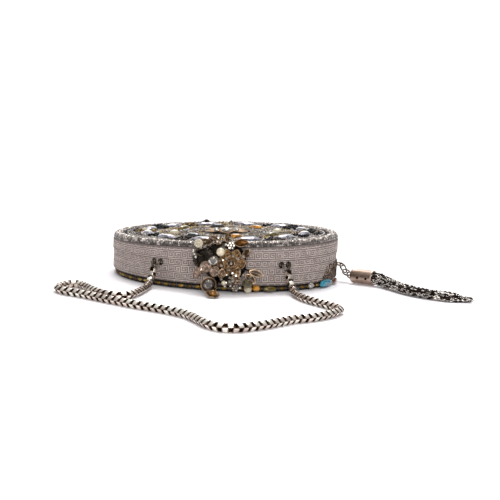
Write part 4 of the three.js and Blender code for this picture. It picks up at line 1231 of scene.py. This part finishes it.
def add_ornament_stones():
    for name, finish, shape, place, radius, tint in ROUND_STONES:
        pile = Pile(finish).add(placed(shape, spot(*place), scale=radius), tint)
        pile.piece(f"{name}_set", "lid", stone_slot(finish), name)
    for name, finish, size, place, spin, tint in CUT_STONES:
        point, turn = spot(*place), facing(FRONT, spin)
        shape = placed(gem(*size, SETTING_HEIGHT, 16), point, turn)
        pile = Pile(finish, "gunmetal").add(shape, facet_tints(shape, tint), smooth=False)
        add_setting(pile, *size, point, turn)
        pile.piece(f"{name}_set", "lid", stone_slot(finish), name)
    middle = spot(*CLUSTER["place"])
    pile = Pile("pearl").add(placed(BEAD, middle, scale=CLUSTER["core"]))
    for index in range(CLUSTER["count"]):
        height = 1 - 2 * (index + 0.5) / CLUSTER["count"]
        turn = index * GOLDEN_TURN
        flat = math.sqrt(1 - height * height)
        away = np.array([flat * math.cos(turn), flat * math.sin(turn), height])
        pile.add(placed(ball(10, 6), middle + CLUSTER["radius"] * away), RNG.uniform(0.65, 0.95))
    pile.piece("ornament_bead_cluster_set", "lid", "pearl", "ornament_bead_cluster")


# Strap: eyelets, end loops and the box chain, which hangs at both ends and lies on the floor between

CHAIN_LIE = 2.7
STRAP_LEFT_END = ((-52.1, -78.6, 12.3), (-53, -80, 8.4), (-54, -82.6, 5), (-54.7, -88, 3.1))
STRAP_LYING = (
    (-55.4, -96), (-56.5, -106.5), (-58.4, -118), (-61.3, -129.8), (-65, -137.6), (-69.8, -140.4),
    (-75, -138.7), (-80.5, -134.5), (-86.5, -126.5), (-93.1, -113.9), (-98.6, -103.7), (-104, -97.3),
    (-109.2, -97.8), (-113.2, -104.8), (-115.2, -113.5), (-114, -121.5), (-110.3, -127.6), (-104, -132.8),
    (-96.4, -138.1), (-88.8, -144.4), (-81.3, -151.1), (-74, -157.2), (-66.9, -162.9), (-56.3, -171.8),
    (-46.2, -178.4), (-36.3, -185.5), (-26.5, -194), (-19.4, -204.3), (-13.3, -218), (-7.5, -229.8),
    (-0.1, -236.2), (8, -236), (16.2, -230.6), (25.3, -222.5), (34.6, -211.5), (44.2, -200.7),
    (54.2, -193.2), (64.6, -182.5), (72.5, -170.5), (76.6, -159), (74.6, -150.6), (68.5, -140.6),
    (62.5, -131), (56.6, -120.5), (52.7, -107),
)
STRAP_RIGHT_END = ((50.4, -94.5, 3), (49.2, -88, 5.4), (47.8, -84.8, 8.8), (46.4, -82.2, 14.3))
STRAP_ROUTE = (*STRAP_LEFT_END, *((x, y, CHAIN_LIE) for x, y in STRAP_LYING), *STRAP_RIGHT_END)
LINK = {"length": 4.45, "size": 4.45, "width": 3.75, "thick": 0.66, "corner": 0.5, "pitch": 2.86}
LINK_EDGE, LINK_CROWN = 0.26, 0.12
CHAIN_ROLL, CHAIN_TURN = math.pi / 4, -0.18
CHAIN_TONES = (0.75, 0.95, 1.1)
# Steepness between which a chain goes over from lying to hanging
HANG_RANGE = (0.25, 0.65)
SHADE_CORE_RADIUS = 1.1
# Painted shade on each box link: inner faces near black, the strip darker towards its edges and the link
# darker towards its bends, where shade falls in the chain
INNER_SHADE = 0.02
STRIP_SHADES = (INNER_SHADE, 0.08, 0.25, 0.6, 1.0, 1.0, 0.6, 0.25, 0.08)
BEND_SHADES = (0.02, 0.03, 0.4, 1.1, 0.4, 0.03, 0.02, 0.02)
BOX_SHADES = [bend * strip for bend in 2 * BEND_SHADES for strip in STRIP_SHADES]
LOOP_TONES = (0.8, 0.95, 1.1)
LOOP_DROP = 4.2


def box_link():
    """Square loop of flat strip, long along X, its hole along Z; inner faces come first in each section."""
    half_length = (LINK["length"] - LINK["thick"]) / 2 - LINK["corner"]
    half_height = (LINK["size"] - LINK["thick"]) / 2 - LINK["corner"]
    edge, deep, wide = LINK_EDGE, LINK["thick"] / 2, LINK["width"] / 2
    section = ((-deep, wide - edge), (-deep, -wide + edge), (-deep + edge, -wide), (deep - edge, -wide),
               (deep, -wide + edge), (deep + LINK_CROWN, 0), (deep, wide - edge), (deep - edge, wide),
               (-deep + edge, wide))
    rings = []
    for corner, (side_x, side_y) in enumerate(((1, 1), (-1, 1), (-1, -1), (1, -1))):
        for step in range(4):
            turn = 0.5 * math.pi * (corner + step / 3)
            out = np.array([math.cos(turn), math.sin(turn), 0])
            middle = np.array([side_x * half_length, side_y * half_height, 0]) + LINK["corner"] * out
            rings.append(np.array([middle + a * out + np.array([0, 0, b]) for a, b in section]))
    return skin(rings, closed=True)


def browned_shade(shade):
    """Colour of painted shade on a metal face, browner as it darkens from half brightness."""
    dark = max(0.0, 1 - 2 * shade)
    return shade * (1 + 0.6 * dark), shade, shade * (1 - 0.25 * dark)


def lay_links(pile, path, shape, roll, tones, face_shades=(1.0,), lie=0.0):
    """Links along a path with alternate ones turned a quarter; the face shades paint shade on each
    section's faces.

    The roll changes by lie with the way the path runs along X, and goes to nothing where it hangs.
    """
    for index, (point, along) in enumerate(zip(path, frames(path)[0])):
        up = np.array([0, 0, 1.0]) if abs(along[2]) < 0.97 else np.array([0.55, 0.83, 0])
        side = unit(np.cross(up, along))
        top = np.cross(along, side)
        lying = np.interp(abs(along[2]), HANG_RANGE, (1, 0))
        quarter = math.pi / 2 if index % 2 else 0
        turn = lying * (roll + lie * along[0]) + quarter + RNG.uniform(-0.05, 0.05)
        across = math.cos(turn) * side + math.sin(turn) * top
        normal = np.cross(along, across)
        tone = RNG.choice(tones)
        shades = [browned_shade(tone * face_shades[face % len(face_shades)]) for face in range(len(shape[1]))]
        pile.add(placed(shape, point, np.stack([along, across, normal], 1)), shades)


def add_eyelets():
    bore, barrel, flange = EYELET_BORE, EYELET_BARREL, EYELET_FLANGE
    ring = revolve([(bore, -2.2), (barrel, -2.2), (barrel, GAP), (flange - 0.2, GAP), (flange, GAP + 0.2),
                    (flange - 0.35, GAP + 0.5), (bore + 0.3, GAP + 0.55), (bore, GAP + 0.3)], 28, loop=True)
    for name, angle in EYELET_ANGLES.items():
        place = wall_point(angle, EYELET_SHARE, LOWER_RADIUS)
        pile = Pile("gunmetal").add(placed(ring, place, facing(outward(angle))), 0.3)
        pile.piece(f"eyelet_{name}_ring", "base", "gunmetal", f"eyelet_{name}")


def add_strap():
    pile = Pile("nickel")
    path = smooth_path(STRAP_ROUTE, LINK["pitch"])
    lay_links(pile, path, box_link(), CHAIN_ROLL, CHAIN_TONES, BOX_SHADES, CHAIN_TURN)
    # Dark bar through the links that is only painted shade: it fills the chain's inside so its gaps show
    # near black
    pile.add(tube(path, SHADE_CORE_RADIUS, 8), browned_shade(INNER_SHADE))
    pile.piece("strap_chain_links", "base", "nickel", "strap_chain")
    add_eyelets()
    link = oval_link(2.9, 1.9, 0.38, 12, 6)
    for side in ("left", "right"):
        first, second = EYELET_ANGLES[f"{side}_outer"], EYELET_ANGLES[f"{side}_inner"]
        bores = [[wall_point(angle, EYELET_SHARE, LOWER_RADIUS + out) for out in (-4.2, -1.2, 1.8)]
                 for angle in (first, second)]
        tip = wall_point((first + second) / 2, EYELET_SHARE, LOWER_RADIUS + 4)
        tip[2] -= LOOP_DROP
        path = smooth_path([*bores[0], tip, *bores[1][::-1]], 1.75, closed=True)
        pile = Pile("gunmetal")
        lay_links(pile, path, link, 0.4, LOOP_TONES)
        pile.piece(f"strap_loop_{side}_links", "base", "gunmetal", f"strap_loop_{side}")


# Tassel

CAP = {"start": (102, -16, 6.2), "along": (0.82, -0.57, 0), "radius": 5.8, "wall": 0.8, "length": 19}
CAP_SIDES = 48
STAPLE_DISC = ((0, 0), (2.1, 0), (2.3, 0.3), (2.2, 0.9), (1.6, 1.2), (0, 1.2))
STAPLE_REACH, STAPLE_RADIUS, BAIL_RADIUS, BAIL_SINK = 3.3, 2.3, 2.6, 0.4
EYE_WIRE, RING_WIRE = 0.65, 0.6
# Half length, half width and play of the two rings between staple and cap
UPPER_RING, LOWER_RING = (4.8, 3.4, 0.4), (3.8, 2.9, 0.3)
RIVETS = (7.2, 14.5)
# Place, spread across and rise of the fringe
FRINGE_LINE = (
    (114.6, -24.7, 6.2, 3.4, 3.4), (122.2, -30.8, 5.8, 4.4, 4.6), (128.2, -44.5, 4.9, 4.7, 4.0),
    (138.8, -67, 4.1, 4.8, 3.3), (151.4, -80.5, 3.7, 5.2, 2.9), (166, -88.5, 3.3, 5.4, 2.4),
    (181, -91.5, 2.0, 3.2, 1.0),
)
FRINGE_CHAINS, FRINGE_PITCH, FRINGE_WANDER, FRINGE_LOWEST = 24, 1.72, 0.35, 1.5
# Link tones of the fringe: chains inside the bundle painted near black as the shade among them; outer
# chains mix near-black links, painted shade between chains, with links lighter than the metal, painted
# highlights
INNER_FRINGE_SHADES = (0.03, 0.05, 0.1)
OUTER_FRINGE_TONES = (0.03, 0.05, 1.2, 1.6, 1.8)
INNER_FRINGE_SHARE = 0.7


def wire_ring(centre, long, short, half_length, half_width, wire):
    points = oval(2 * half_length, 2 * half_width, 0, around(32))[:, :2] @ np.array([long, short])
    return tube(centre + points, wire, 10, closed=True)


def cap_shell():
    """Turned cap, open at its far end, its inside faces in dark gunmetal as painted shade."""
    radius, inside, length = CAP["radius"], CAP["radius"] - CAP["wall"], CAP["length"]
    lip = radius + 0.12
    profile = [(0, 0), (radius - 1.4, 0), (radius - 0.5, 0.3), (radius - 0.05, 1.2), (radius, 1.8),
               (radius, length - 1.6), (lip, length - 1.2), (lip, length - 0.4), (radius - 0.1, length),
               (inside, length), (inside, 2), (0, 2)]
    return revolve(profile, CAP_SIDES), [0] * 9 * CAP_SIDES + [1] * 2 * CAP_SIDES


def add_tassel():
    """Staple, two rings and the cap with its bail and rivets."""
    along, start = unit(CAP["along"]), np.array(CAP["start"], float)
    out = outward(TASSEL_ANGLE)
    staple = wall_point(TASSEL_ANGLE, TASSEL_SHARE, LOWER_RADIUS + GAP)
    eye = staple + out * STAPLE_REACH
    bail = start + along * (BAIL_SINK - BAIL_RADIUS)
    pull = unit(bail - eye)
    side = unit(np.cross(out, pull))
    flat = np.cross(pull, side)

    pile = Pile("gunmetal").add(placed(revolve(STAPLE_DISC, 24), staple, facing(out)))
    pile.add(wire_ring(eye, pull, out, STAPLE_RADIUS, STAPLE_RADIUS, EYE_WIRE))
    pile.piece("tassel_loop_staple", "base", "gunmetal", "tassel_loop")
    upper = eye + pull * (UPPER_RING[2] + UPPER_RING[0])
    lower = bail - pull * (LOWER_RING[2] + LOWER_RING[0]) - flat * 0.7
    for name, centre, short, (half_length, half_width, _) in (
        ("tassel_ring_upper", upper, side, UPPER_RING),
        ("tassel_ring_lower", lower, unit(flat), LOWER_RING),
    ):
        pile = Pile("gunmetal").add(wire_ring(centre, pull, short, half_length, half_width, RING_WIRE))
        pile.piece(f"{name}_wire", "base", "gunmetal", name)

    shell, slots = cap_shell()
    pile = Pile("satin", "gunmetal").add(placed(shell, start, facing(along)), slot=slots)
    bail_axis = unit(flat - along * (flat @ along))
    pile.add(wire_ring(bail, along, np.cross(bail_axis, along), BAIL_RADIUS, BAIL_RADIUS, EYE_WIRE), 0.6)
    toward = unit((along[1], -along[0], -0.12))
    for distance in RIVETS:
        point = start + along * distance + toward * (CAP["radius"] - 0.1)
        pile.add(placed(dome(2.5, 2.0, 0.5, 14, 4), point, facing(toward)), 0.04, 1)
    pile.piece("tassel_cap_shell", "base", "nickel", "tassel_cap")


def add_fringe():
    """Fine chains from inside the cap, each along its own wandering line."""
    pile = Pile("dark_chain")
    along = unit(CAP["along"])
    across = np.array([-along[1], along[0], 0])
    link = oval_link(2.7, 1.9, 0.42, 8, 5)
    root = np.array(FRINGE_LINE[0][:3], float)
    for chain in range(FRINGE_CHAINS):
        share = math.sqrt((chain + 0.5) / FRINGE_CHAINS)
        turn = chain * GOLDEN_TURN
        sideways, upward = share * math.cos(turn), share * math.sin(turn)
        reach = RNG.uniform(0.86, 1.0)
        knots = [root - along * 2 + across * 2 * sideways + np.array([0, 0, 2 * upward])]
        for row, (x, y, z, spread, rise) in enumerate(FRINGE_LINE):
            keep = reach if row == len(FRINGE_LINE) - 1 else 1.0
            wander = FRINGE_WANDER * row
            point = root + (np.array([x, y, z]) - root) * np.array([keep, keep, 1])
            point = point + across * (spread * sideways + wander * RNG.uniform(-1, 1))
            point[2] = max(FRINGE_LOWEST, point[2] + rise * upward + 0.4 * wander * RNG.uniform(-1, 1))
            knots.append(point)
        # Inner chains take the painted shade, outer ones painted shade and painted highlights
        tones = INNER_FRINGE_SHADES if share < INNER_FRINGE_SHARE else OUTER_FRINGE_TONES
        lay_links(pile, smooth_path(knots, FRINGE_PITCH), link, RNG.uniform(0, 1.5), tones)
    pile.piece("tassel_fringe_chains", "base", "dark_chain", "tassel_fringe")


# Hinge and catch keep their solids, with softened edges

def add_hardware():
    for node in ("hinge_base", "hinge_lid", "hinge_pin", "clasp_catch"):
        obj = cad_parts[node]
        obj.data.materials.clear()
        obj.data.materials.append(MATERIALS["hardware"])
        bevel = obj.modifiers.new("soft_edges", "BEVEL")
        bevel.width, bevel.segments = 0.25 * MM, 2


add_camera()
add_stage()
add_walls()
add_top_border()
add_bottom_faces()
add_top_stones()
add_top_flower()
add_top_embroidery()
add_bottom_stones()
add_climbing_beads()
add_ornament_metal()
add_ornament_stones()
add_strap()
add_tassel()
add_fringe()
add_hardware()
